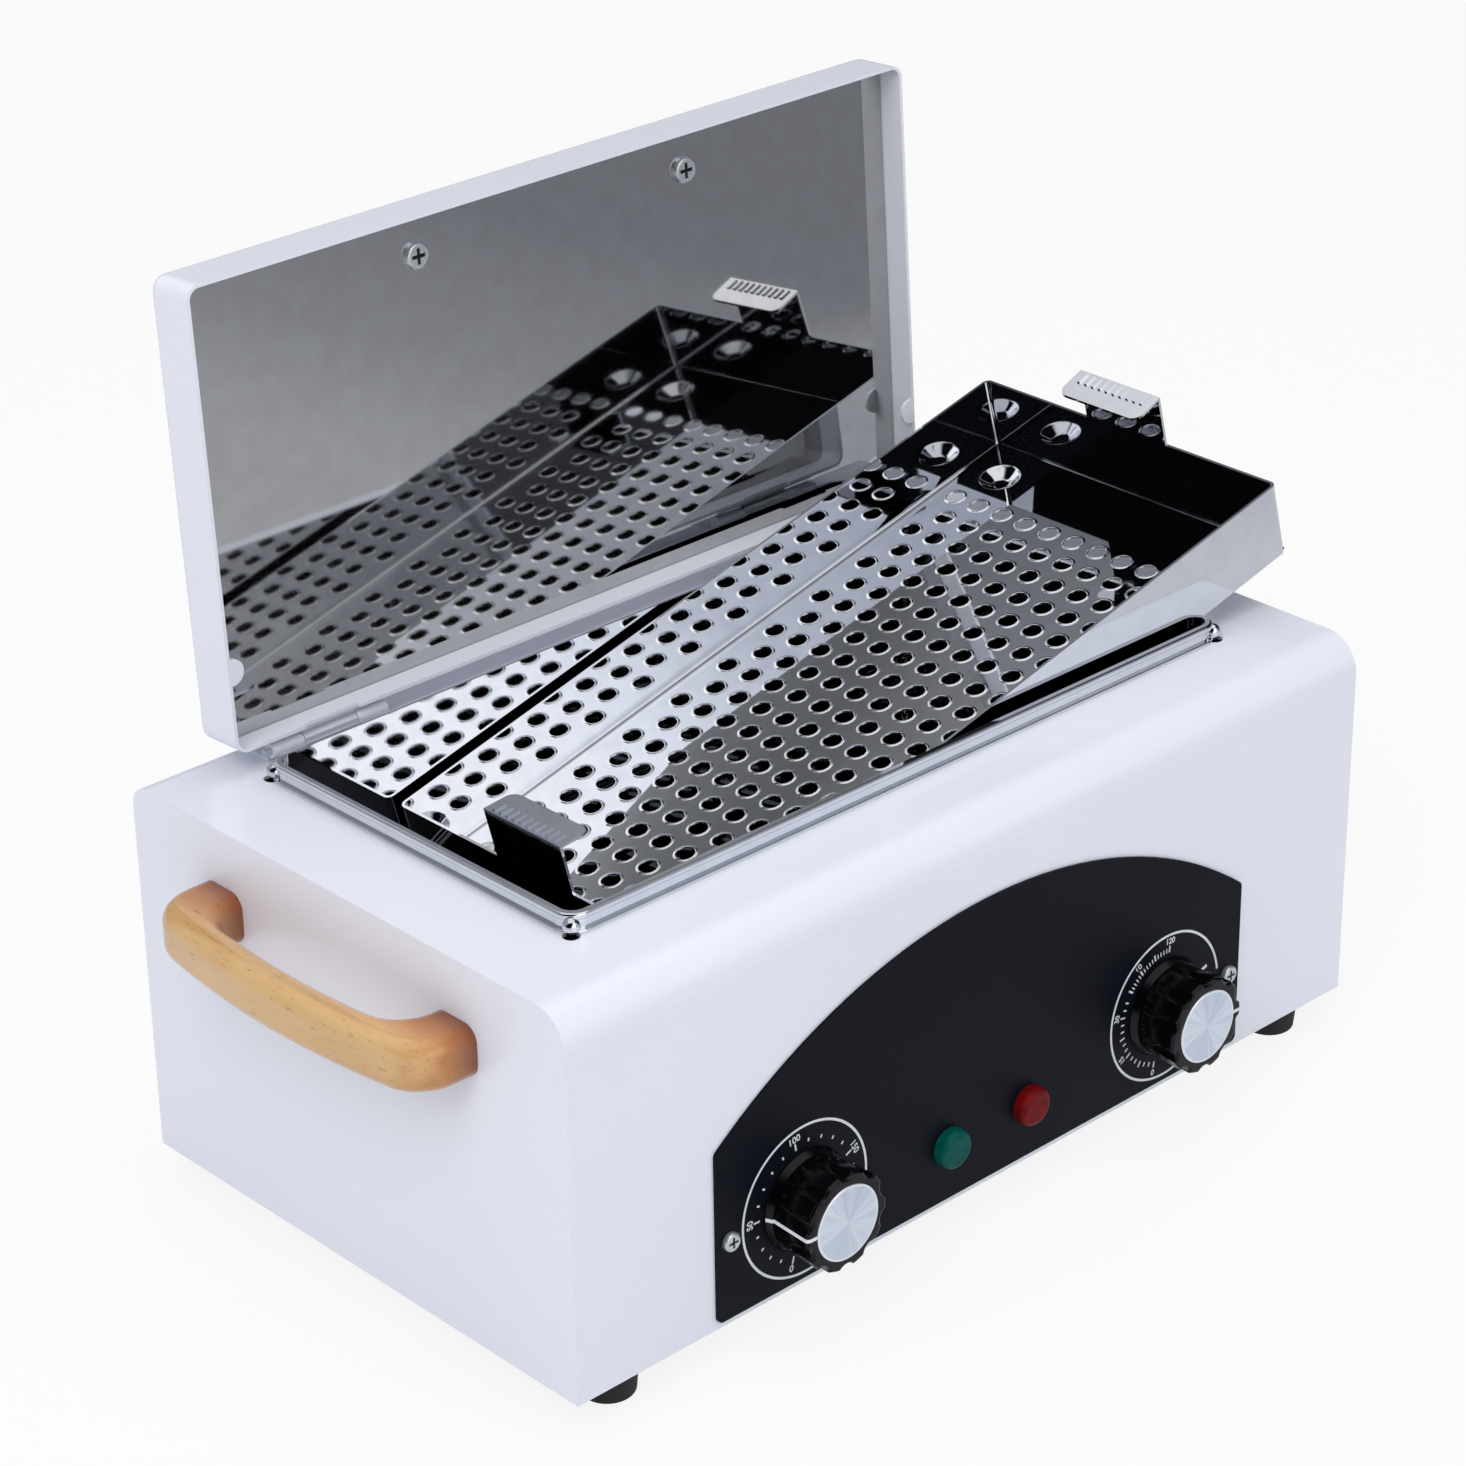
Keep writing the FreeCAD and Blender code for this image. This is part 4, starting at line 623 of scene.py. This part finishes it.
@dataclass
class TrayFloor:
    """Perforated tray floor: round holes with raised lips on a staggered lattice, and four dimple feet.

    The lattice's pitch is four squares of the grid each way, and every other column is shifted by two.
    Lip and dimple are profiles of radius and height from the outside in, the lip's from the hole's edge.
    """

    tray: TrayPlace
    pitch_x: float = 11.7
    pitch_y: float = 11.5
    columns: int = 21
    rows: int = 11
    first_x: float = 20.0
    sheet: float = 0.8
    wall: float = 1.0
    hole: float = 3.25
    lip: tuple[Pair, ...] = ((1.2, 0.0), (1.0, 0.0), (0.65, 0.16), (0.3, 0.28), (0.06, 0.18), (0.0, -0.1))
    dimple_end: float = 17.1
    dimple: tuple[Pair, ...] = ((8.4, 0.0), (8.2, 0.0), (7.5, -0.15), (7.0, -0.5), (3.9, -2.7), (3.2, -3.1),
                                (2.2, -3.2))
    fold: float = 0.7
    fold_shares: tuple[float, ...] = (0.0, 0.12, 0.35, 0.65, 1.0)
    squares: int = 4
    dimple_squares: int = 6

    def build(self, palette: Palette) -> Object:
        """Makes the floor, curved up at its folded edge, and lets it stand for the CAD node.

        The edge's height is a quarter circle: the fold's radius, less the root of the radius squared
        less the square of the way past the point where the bend starts.

        Args:
            palette: the finishes.

        Returns:
            The finished piece.
        """
        qx, qy = self.pitch_x / self.squares, self.pitch_y / self.squares
        x_start = self.first_x - self.pitch_x / 2
        y_start = -(self.rows / 2) * self.pitch_y
        far = self.tray.length - self.wall
        half = self.tray.width / 2 - self.wall
        before = int((x_start - self.wall) // qx)
        steps = self.fold * np.array(self.fold_shares)
        xs = x_start + qx * np.arange(-before, int((far - x_start) / qx) + 1)
        xs = np.concatenate([self.wall + steps, xs, far - steps[::-1]])
        ys = y_start + qy * np.arange(self.rows * self.squares + 1)
        ys = np.concatenate([steps - half, ys, half - steps[::-1]])
        grid_x, grid_y = np.meshgrid(xs, ys, indexing="ij")
        from_wall = np.minimum(np.minimum(grid_x - self.wall, far - grid_x), half - np.abs(grid_y))
        rise = self.fold - np.sqrt(self.fold ** 2 - np.clip(self.fold - from_wall, 0.0, self.fold) ** 2)
        sheet = Sheet(xs, ys, rise)
        i0, j0 = before + len(steps), len(steps)
        foot, lip = np.array(self.dimple), np.array(self.lip) + [self.hole, 0.0]
        for x in (self.dimple_end, self.tray.length - self.dimple_end):
            for j in (j0 + 1, j0 + self.rows * self.squares - 1 - self.dimple_squares):
                i = i0 + round((x - x_start) / qx) - self.dimple_squares // 2
                sheet.press(i, j, self.dimple_squares, foot, self.dimple[-1][1])
        for column in range(self.columns):
            odd = column % 2
            for row in range(self.rows - odd):
                i, j = i0 + self.squares * column, j0 + self.squares * row + self.squares // 2 * odd
                if not sheet.taken[i:i + self.squares, j:j + self.squares].any():
                    sheet.press(i, j, self.squares, lip)
        cloud, faces = sheet.close()
        cloud[:, 2] += self.sheet
        piece = mesh_piece("perforated_tray_floor", self.tray.place(cloud), faces)
        thick = piece.modifiers.new("sheet", "SOLIDIFY")
        thick.thickness = self.sheet * MM
        thick.offset = -1.0
        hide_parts("tray_floor")
        return dress(piece, palette["mirror_stainless"], Body.TRAY)


@dataclass(frozen=True)
class Strokes:
    """Strokes at even steps round a dial, of which every few can be longer and wider.

    The strokes are numbered on from lead, and each stands at origin and so many steps.
    """

    origin: float
    step: float
    count: int
    inner: float
    outer: float
    half: float
    lead: int = 0
    every: int = 5
    inward: float = 0.0
    outward: float = 0.0
    wider: float = 0.0

    def rows(self) -> Array:
        """The strokes' places and sizes.

        Returns:
            Rows of angle, inner radius, outer radius and half width.
        """
        number = self.lead + np.arange(self.count)
        more = (number % self.every == 0).astype(float)
        return np.stack([self.origin + self.step * number, self.inner - self.inward * more,
                         self.outer + self.outward * more, self.half + self.wider * more], axis=1)


@dataclass(frozen=True)
class Scale:
    """The print round one knob: ring, strokes and numbers. The knob's own line starts at the rest angle."""

    name: str
    x: float
    rest: float
    ring: Pair
    strokes: tuple[Strokes, ...]
    numbers: tuple[tuple[str, float], ...]
    number_radius: float
    number_height: float


TEMPERATURE = Scale("temperature", -DIAL_X, 178.0, (-50.0, 286.0),
                    (Strokes(255.0, -77.0 / 5, 21, 20.6, 21.8, 0.35, inward=0.9, outward=0.5),),
                    (("0", 255.0), ("50", 178.0), ("100", 101.0), ("150", 24.0), ("200", -53.0)), 23.8, 2.5)
TIMER = Scale("timer", DIAL_X, 0.0, (8.0, 292.0),
              (Strokes(86.0, 3.9, 16, 20.2, 22.0, 0.24, outward=0.7, wider=0.12),
               Strokes(148.0, 7.3, 15, 20.4, 22.0, 0.32, lead=1, every=3, outward=0.7),
               Strokes(19.0, 0.0, 1, 19.2, 22.4, 0.65)),
              (("0", 258.0), ("15", 211.0), ("30", 169.4), ("60", 124.7), ("120", 85.8)), 24.4, 2.2)


@dataclass
class Print:
    """Screen print on the front plate: dial rings, ticks and numbers."""

    lift: float = 0.05
    ring_radius: float = 26.9
    ring_half: float = 0.45
    ring_points: int = 120
    letter_share: float = 1.4
    boldness: float = 0.07

    def ring(self, scale: Scale) -> Object:
        """Flat ring band: angle along it, radius across it.

        Args:
            scale: the dial's print.

        Returns:
            The piece.
        """
        angle = np.radians(np.linspace(*scale.ring, self.ring_points))[:, None]
        radius = np.array([self.ring_radius - self.ring_half, self.ring_radius + self.ring_half])[None]
        x = scale.x + radius * np.cos(angle)
        z = DIAL_Z + radius * np.sin(angle)
        points = np.stack([x, np.full_like(x, PLATE_Y - self.lift), z], axis=-1)
        return grid_mesh(scale.name + "_ring", points * MM)

    def marks(self, scale: Scale) -> Object:
        """Strokes that point at the dial's centre: half a width to each side of inner and outer radius.

        Args:
            scale: the dial's print.

        Returns:
            The piece.
        """
        rows = np.concatenate([strokes.rows() for strokes in scale.strokes])
        angle = np.radians(rows[:, 0])
        along = np.stack([np.cos(angle), np.sin(angle)], axis=1)
        across = np.stack([-np.sin(angle), np.cos(angle)], axis=1) * rows[:, 3:]
        inner, outer = along * rows[:, 1:2], along * rows[:, 2:3]
        flat = np.stack([inner - across, outer - across, outer + across, inner + across], axis=1)
        y = np.full(flat.shape[:2], PLATE_Y - self.lift)
        points = np.stack([scale.x + flat[..., 0], y, DIAL_Z + flat[..., 1]], axis=-1).reshape(-1, 3)
        return mesh_piece(scale.name + "_marks", points * MM, [np.arange(len(points)).reshape(-1, 4)])

    def number(self, scale: Scale, digits: str, degrees: float) -> Object:
        """A dial number, its foot towards the centre.

        Args:
            scale: the dial's print.
            digits: the number.
            degrees: its place round the dial.

        Returns:
            The piece, as a mesh.
        """
        name = scale.name + "_" + digits
        curve = bpy.data.curves.new(name, "FONT")
        curve.body = digits
        curve.size = scale.number_height * self.letter_share * MM
        curve.offset = self.boldness * MM
        curve.align_x = curve.align_y = "CENTER"
        holder = bpy.data.objects.new(name, curve)
        bpy.context.scene.collection.objects.link(holder)
        mesh = bpy.data.meshes.new_from_object(holder.evaluated_get(bpy.context.evaluated_depsgraph_get()))
        bpy.data.objects.remove(holder)
        angle, radius = math.radians(degrees), scale.number_radius
        upright = Matrix.Rotation(math.pi / 2, 4, "X")
        turn = Matrix.Rotation(math.pi / 2 - angle, 4, "Y")
        at = Matrix.Translation(((scale.x + radius * math.cos(angle)) * MM, (PLATE_Y - self.lift) * MM,
                                 (DIAL_Z + radius * math.sin(angle)) * MM))
        mesh.transform(at @ turn @ upright)
        piece = bpy.data.objects.new(name, mesh)
        bpy.context.scene.collection.objects.link(piece)
        return piece

    def build(self, palette: Palette) -> None:
        """Makes all the print.

        Args:
            palette: the finishes.
        """
        scales = (TEMPERATURE, TIMER)
        made = [self.ring(scale) for scale in scales] + [self.marks(scale) for scale in scales]
        made += [self.number(scale, *number) for scale in scales for number in scale.numbers]
        for piece in made:
            dress(piece, palette["print_white"], Body.HOUSING)


@dataclass
class Pointer:
    """White line on a knob: out along the skirt, up the body and over the front to the cap.

    The knob's back stands a gap before the plate. Each row of the route gives a radius, a distance
    from that back, and whether the line is lifted outwards and forwards there.
    """

    body: Body
    scale: Scale
    gap: float = 0.5
    half: float = 0.65
    lift: float = 0.08
    route: tuple[tuple[float, float, int, int], ...] = (
        (17.8, 0.2, 1, 0), (16.8, 2.4, 1, 1), (16.35, 2.4, 1, 1), (17.23, 17.2, 1, 0), (17.0, 18.0, 1, 1),
        (16.1, 18.4, 0, 1), (13.3, 18.4, 0, 1))

    def build(self, palette: Palette) -> Object:
        """Makes the line as a band: radius along the angle, half a width across it, depth forward.

        Args:
            palette: the finishes.

        Returns:
            The piece.
        """
        route = np.array(self.route)
        profile = route[:, :2] + self.lift * route[:, 2:]
        angle = math.radians(self.scale.rest)
        out = np.array([math.cos(angle), math.sin(angle)])
        side = np.array([-math.sin(angle), math.cos(angle)])
        cross = np.array([-self.half, self.half])
        xz = profile[:, None, :1] * out + cross[None, :, None] * side
        y = np.broadcast_to(PLATE_Y - self.gap - profile[:, 1, None], xz.shape[:2])
        points = np.stack([self.scale.x + xz[..., 0], y, DIAL_Z + xz[..., 1]], axis=-1)
        piece = grid_mesh(self.body.value + "_pointer", points * MM)
        return dress(piece, palette["print_white"], self.body)


@dataclass
class ScrewCrosses:
    """Painted shade: dark crosses at the bottoms of the cross recesses in the front plate's and the lid
    liner's screws.
    """

    plate_arm: float = 2.0
    plate_half: float = 0.48
    plate_depth: float = 0.8
    lid_arm: float = 2.7
    lid_half: float = 0.62
    lid_centre: Vector = (58.6, 92.86, 295.9)
    lid_degrees: float = 3.3

    @staticmethod
    def cross(name: str, centre: Vector, arm: float, half: float, lean: float) -> Object:
        """Two crossing bars as one face: three corners, turned four times by a quarter.

        Args:
            name: the piece's name.
            centre: the middle of the cross.
            arm: from the middle to the end of a bar.
            half: half a bar's width.
            lean: radians by which the head leans back.

        Returns:
            The piece.
        """
        quarter = np.array([(arm, -half), (arm, half), (half, half)])
        turns = [np.array([[math.cos(k), math.sin(k)], [-math.sin(k), math.cos(k)]])
                 for k in (math.pi / 2) * np.arange(4)]
        flat = np.concatenate([quarter @ turn for turn in turns])
        x = centre[0] + flat[:, 0]
        y = centre[1] + flat[:, 1] * math.sin(lean)
        z = centre[2] + flat[:, 1] * math.cos(lean)
        return mesh_piece(name, np.stack([x, y, z], axis=1) * MM, [np.arange(len(flat))[None]])

    def build(self, palette: Palette) -> None:
        """Makes one cross in each screw, left and right.

        Args:
            palette: the finishes.
        """
        low, high = (np.array(corner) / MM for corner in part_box("panel_screws"))
        plate_x = high[0] - (high[2] - low[2]) / 2
        plate_y, plate_z = low[1] + self.plate_depth, (low[2] + high[2]) / 2
        lid_x, lid_y, lid_z = self.lid_centre
        for side, word in ((-1, "left"), (1, "right")):
            # Each cross is a dark sheet in the recess: painted shade
            plate = self.cross(word + "_panel_cross", (side * plate_x, plate_y, plate_z), self.plate_arm,
                               self.plate_half, 0.0)
            dress(plate, palette["recess_dark"], Body.HOUSING)
            lid = self.cross(word + "_lid_cross", (side * lid_x, lid_y, lid_z), self.lid_arm,
                             self.lid_half, math.radians(self.lid_degrees))
            dress(lid, palette["recess_dark"], Body.LID)


def stand(piece: Object, at: Sequence[float], x: Array, y: Array, z: Array) -> None:
    """Puts a lamp or camera in the scene, with its own axes along three directions.

    Args:
        piece: the object.
        at: its place in metres.
        x: its right.
        y: its up.
        z: its back.
    """
    bpy.context.scene.collection.objects.link(piece)
    turn = Matrix([[*axis, 0.0] for axis in (x, y, z)] + [[0.0, 0.0, 0.0, 1.0]]).transposed()
    piece.matrix_world = Matrix.Translation(at) @ turn


@dataclass(frozen=True)
class Softbox:
    """A soft square lamp, in metres and watts, aimed at the middle of the object."""

    name: str
    at: Vector
    side: float
    watts: float
    aim: Vector = (0.0, 0.0, 0.1)

    def build(self) -> None:
        """Hangs the lamp. Mirrors don't show it."""
        data = bpy.data.lights.new(self.name, "AREA")
        data.energy = self.watts
        data.size = self.side
        lamp = bpy.data.objects.new(self.name, data)
        lamp.visible_glossy = False
        way = np.array(self.aim) - np.array(self.at)
        z = -way / np.linalg.norm(way)
        x = np.cross([0.0, 0.0, 1.0], z)
        x = x / np.linalg.norm(x)
        stand(lamp, self.at, x, np.cross(z, x), z)


@dataclass(frozen=True)
class View:
    """Camera at the photograph's place: metres, radians, and the lens for a 36 mm frame."""

    position: Vector = (-0.857258, -0.908530, 0.763313)
    yaw: float = 0.750569
    pitch: float = 0.464900
    roll: float = -0.015356
    lens_mm: float = 103.2695
    frame_mm: float = 36.0

    def build(self) -> None:
        """Puts the camera: right, up and forward axes from yaw, pitch and roll."""
        cy, sy, cp, sp = math.cos(self.yaw), math.sin(self.yaw), math.cos(self.pitch), math.sin(self.pitch)
        forward = np.array([sy * cp, cy * cp, -sp])
        right = np.array([cy, -sy, 0.0])
        up = np.cross(right, forward)
        cr, sr = math.cos(self.roll), math.sin(self.roll)
        data = bpy.data.cameras.new("view")
        data.lens = self.lens_mm
        data.sensor_width = self.frame_mm
        data.sensor_fit = "HORIZONTAL"
        camera = bpy.data.objects.new("view", data)
        stand(camera, self.position, cr * right + sr * up, -sr * right + cr * up, -forward)
        bpy.context.scene.camera = camera


@dataclass(frozen=True)
class StudioFloor:
    """Pale floor that keeps the object's shadow and shows as the photograph's white.

    Mirrors see it as glowing greys, a painted reflection, and in front of the object the grey darkens from
    left to right.
    """

    half: float = 6.0
    paper: str = "#F4F4F5"
    glow: str = "#FDFDFD"
    glow_share: float = 0.88
    grey: str = "#D6D9DF"
    dusk_x: Pair = (0.15, 0.85)
    dusk_y: Pair = (-0.3, -0.48)
    dusk: Stops = ((0.0, "#D0D2D7"), (0.3, "#C5C8CE"), (0.5, "#AAADB5"), (0.8, "#92959F"), (1.0, "#8F929B"))

    def material(self) -> Material:
        """Paper with a glow for the camera, and glowing greys for the mirrors as a painted reflection.

        Returns:
            The material.
        """
        material = bpy.data.materials.new("pale_paper_floor")
        material.use_nodes = True
        tree = material.node_tree
        tree.nodes.clear()
        paper = add(tree, "ShaderNodeBsdfDiffuse", values={"Color": linear(self.paper)})
        glow = add(tree, "ShaderNodeEmission", values={"Color": linear(self.glow), "Strength": 1.0})
        path = add(tree, "ShaderNodeLightPath").outputs
        seen = add(tree, "ShaderNodeMath", {"operation": "MULTIPLY"}, {1: self.glow_share},
                   {0: path["Is Camera Ray"]})
        lit = add(tree, "ShaderNodeMixShader", links={0: seen.outputs[0], 1: paper.outputs[0],
                                                      2: glow.outputs[0]})
        place = add(tree, "ShaderNodeTexCoord").outputs["Object"]
        parts = add(tree, "ShaderNodeSeparateXYZ", links={0: place}).outputs
        across, ahead = (add(tree, "ShaderNodeMapRange", values={"From Min": start, "From Max": end},
                             links={"Value": part})
                         for (start, end), part in zip((self.dusk_x, self.dusk_y), parts))
        dusk = add(tree, "ShaderNodeValToRGB", links={0: across.outputs[0]}, stops=self.dusk)
        greys = add(tree, "ShaderNodeMix", {"data_type": "RGBA"}, {FIRST: linear(self.grey)},
                    {SHARE: ahead.outputs[0], SECOND: dusk.outputs[0]})
        # Painted reflection: for glossy rays the floor glows in these greys
        mirrored = add(tree, "ShaderNodeEmission", links={"Color": greys.outputs[MIXED]})
        sheen = add(tree, "ShaderNodeMixShader", links={0: path["Is Glossy Ray"], 1: lit.outputs[0],
                                                        2: mirrored.outputs[0]})
        add(tree, "ShaderNodeOutputMaterial", links={"Surface": sheen.outputs[0]})
        return material

    def build(self) -> None:
        """Lays the floor: a flat grid of three by three points."""
        side = np.linspace(-self.half, self.half, 3)
        x, y = np.meshgrid(side, side[::-1], indexing="ij")
        piece = grid_mesh("studio_floor", np.stack([x, y, np.zeros_like(x)], axis=-1))
        piece.data.materials.append(self.material())


@dataclass(frozen=True)
class Room:
    """Soft white surround for the camera, and for mirrors a room with a window in front.

    The room's grey is a ramp over height. The window begins where a direction points well forward.
    Further forward is its bay, bright on the left and in the middle and greyer on the right. Two parts
    on the left are plain: a grey one behind, and a dark corner in front above the horizon. Each span
    gives two lengths along a direction, between which one part passes into the next.
    """

    white: str = "#FAFAFA"
    soft: str = "#E9EAEE"
    soft_strength: float = 0.62
    up: Vector = (-0.3, 0.0, 1.0)
    heights: Stops = ((0.0, "#101114"), (0.45, "#2A2B2F"), (0.54, "#63666B"), (0.6, "#8D9096"),
                      (0.64, "#BDC0C5"), (0.68, "#EEEFF2"), (0.72, "#FCFCFD"))
    forward: Vector = (0.0, -1.0, 0.0)
    window_span: Pair = (0.5, 0.54)
    panes: Stops = ((0.54, "#A6A8AD"), (0.555, "#8A8C92"), (0.575, "#A2A4AA"), (0.585, "#CDCFD4"))
    right: Vector = (1.0, 0.0, 0.0)
    bay_span: Pair = (0.59, 0.62)
    bay: Stops = ((0.28, "#FFFFFF"), (0.31, "#EEF0F4"), (0.34, "#BFC2CA"), (0.4, "#989CA6"))
    bay_strength: float = 1.6
    behind: Vector = (-0.5, 0.8, 0.0)
    behind_span: Pair = (0.35, 0.6)
    behind_grey: str = "#9A9DA4"
    corner: Vector = (-0.7, -0.7, 0.0)
    corner_span: Pair = (0.35, 0.55)
    corner_top: Vector = (-0.8, 0.3, 0.5)
    corner_top_span: Pair = (0.22, 0.34)
    corner_dark: str = "#0B0C0E"

    @staticmethod
    def towards(tree: Tree, place: Socket, way: Vector, span: Pair) -> Socket:
        """How far a direction has turned towards another one: their dot product, mapped over a span.

        Args:
            tree: the world's tree.
            place: the direction's socket.
            way: the other direction.
            span: the dot products that give 0 and 1.

        Returns:
            The number's socket.
        """
        length = add(tree, "ShaderNodeVectorMath", {"operation": "DOT_PRODUCT"}, {1: way}, {0: place})
        return add(tree, "ShaderNodeMapRange", values={"From Min": span[0], "From Max": span[1]},
                   links={"Value": length.outputs["Value"]}).outputs[0]

    def mirrored(self, tree: Tree, place: Socket) -> tuple[Socket, Socket]:
        """The room that the mirrors show.

        Args:
            tree: the world's tree.
            place: the direction's socket.

        Returns:
            The sockets of its colour and its strength.
        """
        height, front, side = (add(tree, "ShaderNodeVectorMath", {"operation": "DOT_PRODUCT"}, {1: way},
                                   {0: place}).outputs["Value"]
                               for way in (self.up, self.forward, self.right))
        walls, panes, bay = (add(tree, "ShaderNodeValToRGB", links={0: length}, stops=stops).outputs[0]
                             for length, stops in ((height, self.heights), (front, self.panes),
                                                   (side, self.bay)))
        opened, wide, glare = (add(tree, "ShaderNodeMapRange", values={
            "From Min": span[0], "From Max": span[1], "To Min": low, "To Max": high},
            links={"Value": front}).outputs[0] for span, low, high in (
                (self.window_span, 0.0, 1.0), (self.bay_span, 0.0, 1.0),
                (self.bay_span, 1.0, self.bay_strength)))
        behind = self.towards(tree, place, self.behind, self.behind_span)
        corner = add(tree, "ShaderNodeMath", {"operation": "MULTIPLY"}, links={
            0: self.towards(tree, place, self.corner, self.corner_span),
            1: self.towards(tree, place, self.corner_top, self.corner_top_span)}).outputs[0]
        window = add(tree, "ShaderNodeMix", {"data_type": "RGBA"},
                     links={SHARE: wide, FIRST: panes, SECOND: bay}).outputs[MIXED]
        room = add(tree, "ShaderNodeMix", {"data_type": "RGBA"},
                   links={SHARE: opened, FIRST: walls, SECOND: window}).outputs[MIXED]
        for part, colour in ((behind, self.behind_grey), (corner, self.corner_dark)):
            room = add(tree, "ShaderNodeMix", {"data_type": "RGBA"}, {SECOND: linear(colour)},
                       {SHARE: part, FIRST: room}).outputs[MIXED]
        return room, glare

    def build(self) -> None:
        """Sets the world: white for the camera, the room for mirrors, soft light for the rest."""
        world = bpy.data.worlds.new("studio")
        bpy.context.scene.world = world
        world.use_nodes = True
        tree = world.node_tree
        tree.nodes.clear()
        path = add(tree, "ShaderNodeLightPath").outputs
        colour, strength = self.mirrored(tree, add(tree, "ShaderNodeTexCoord").outputs["Generated"])
        soft = add(tree, "ShaderNodeBackground", values={
            "Color": linear(self.soft), "Strength": self.soft_strength})
        room = add(tree, "ShaderNodeBackground", links={"Color": colour, "Strength": strength})
        white = add(tree, "ShaderNodeBackground", values={"Color": linear(self.white), "Strength": 1.0})
        unseen = add(tree, "ShaderNodeMixShader", links={0: path["Is Glossy Ray"], 1: soft.outputs[0],
                                                         2: room.outputs[0]})
        mix = add(tree, "ShaderNodeMixShader", links={0: path["Is Camera Ray"], 1: unseen.outputs[0],
                                                      2: white.outputs[0]})
        add(tree, "ShaderNodeOutputWorld", links={"Surface": mix.outputs[0]})


@dataclass
class Studio:
    """The photograph's view, pale floor, surround and lamps."""

    lamps: tuple[Softbox, ...] = (Softbox("key_softbox", (-1.3, -0.6, 1.6), 1.2, 16.0),
                                  Softbox("front_fill", (0.6, -1.8, 1.0), 1.4, 5.2),
                                  Softbox("top_softbox", (0.2, 0.1, 1.9), 1.2, 9.4))

    def build(self) -> None:
        """Sets the whole studio."""
        for part in (View(), StudioFloor(), Room(), *self.lamps):
            part.build()
        bpy.context.scene.view_settings.view_transform = "Standard"


def main() -> None:
    """Builds and dresses the sterilizer, then sets the studio."""
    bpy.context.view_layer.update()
    palette = Palette()
    palette.coat_nodes()
    for part in (TrayFloor(TrayPlace()), Print(), Pointer(Body.TEMPERATURE_DIAL, TEMPERATURE),
                 Pointer(Body.TIMER_DIAL, TIMER), ScrewCrosses()):
        part.build(palette)
    Studio().build()
    bpy.context.view_layer.update()


if __name__ == "__main__":
    main()
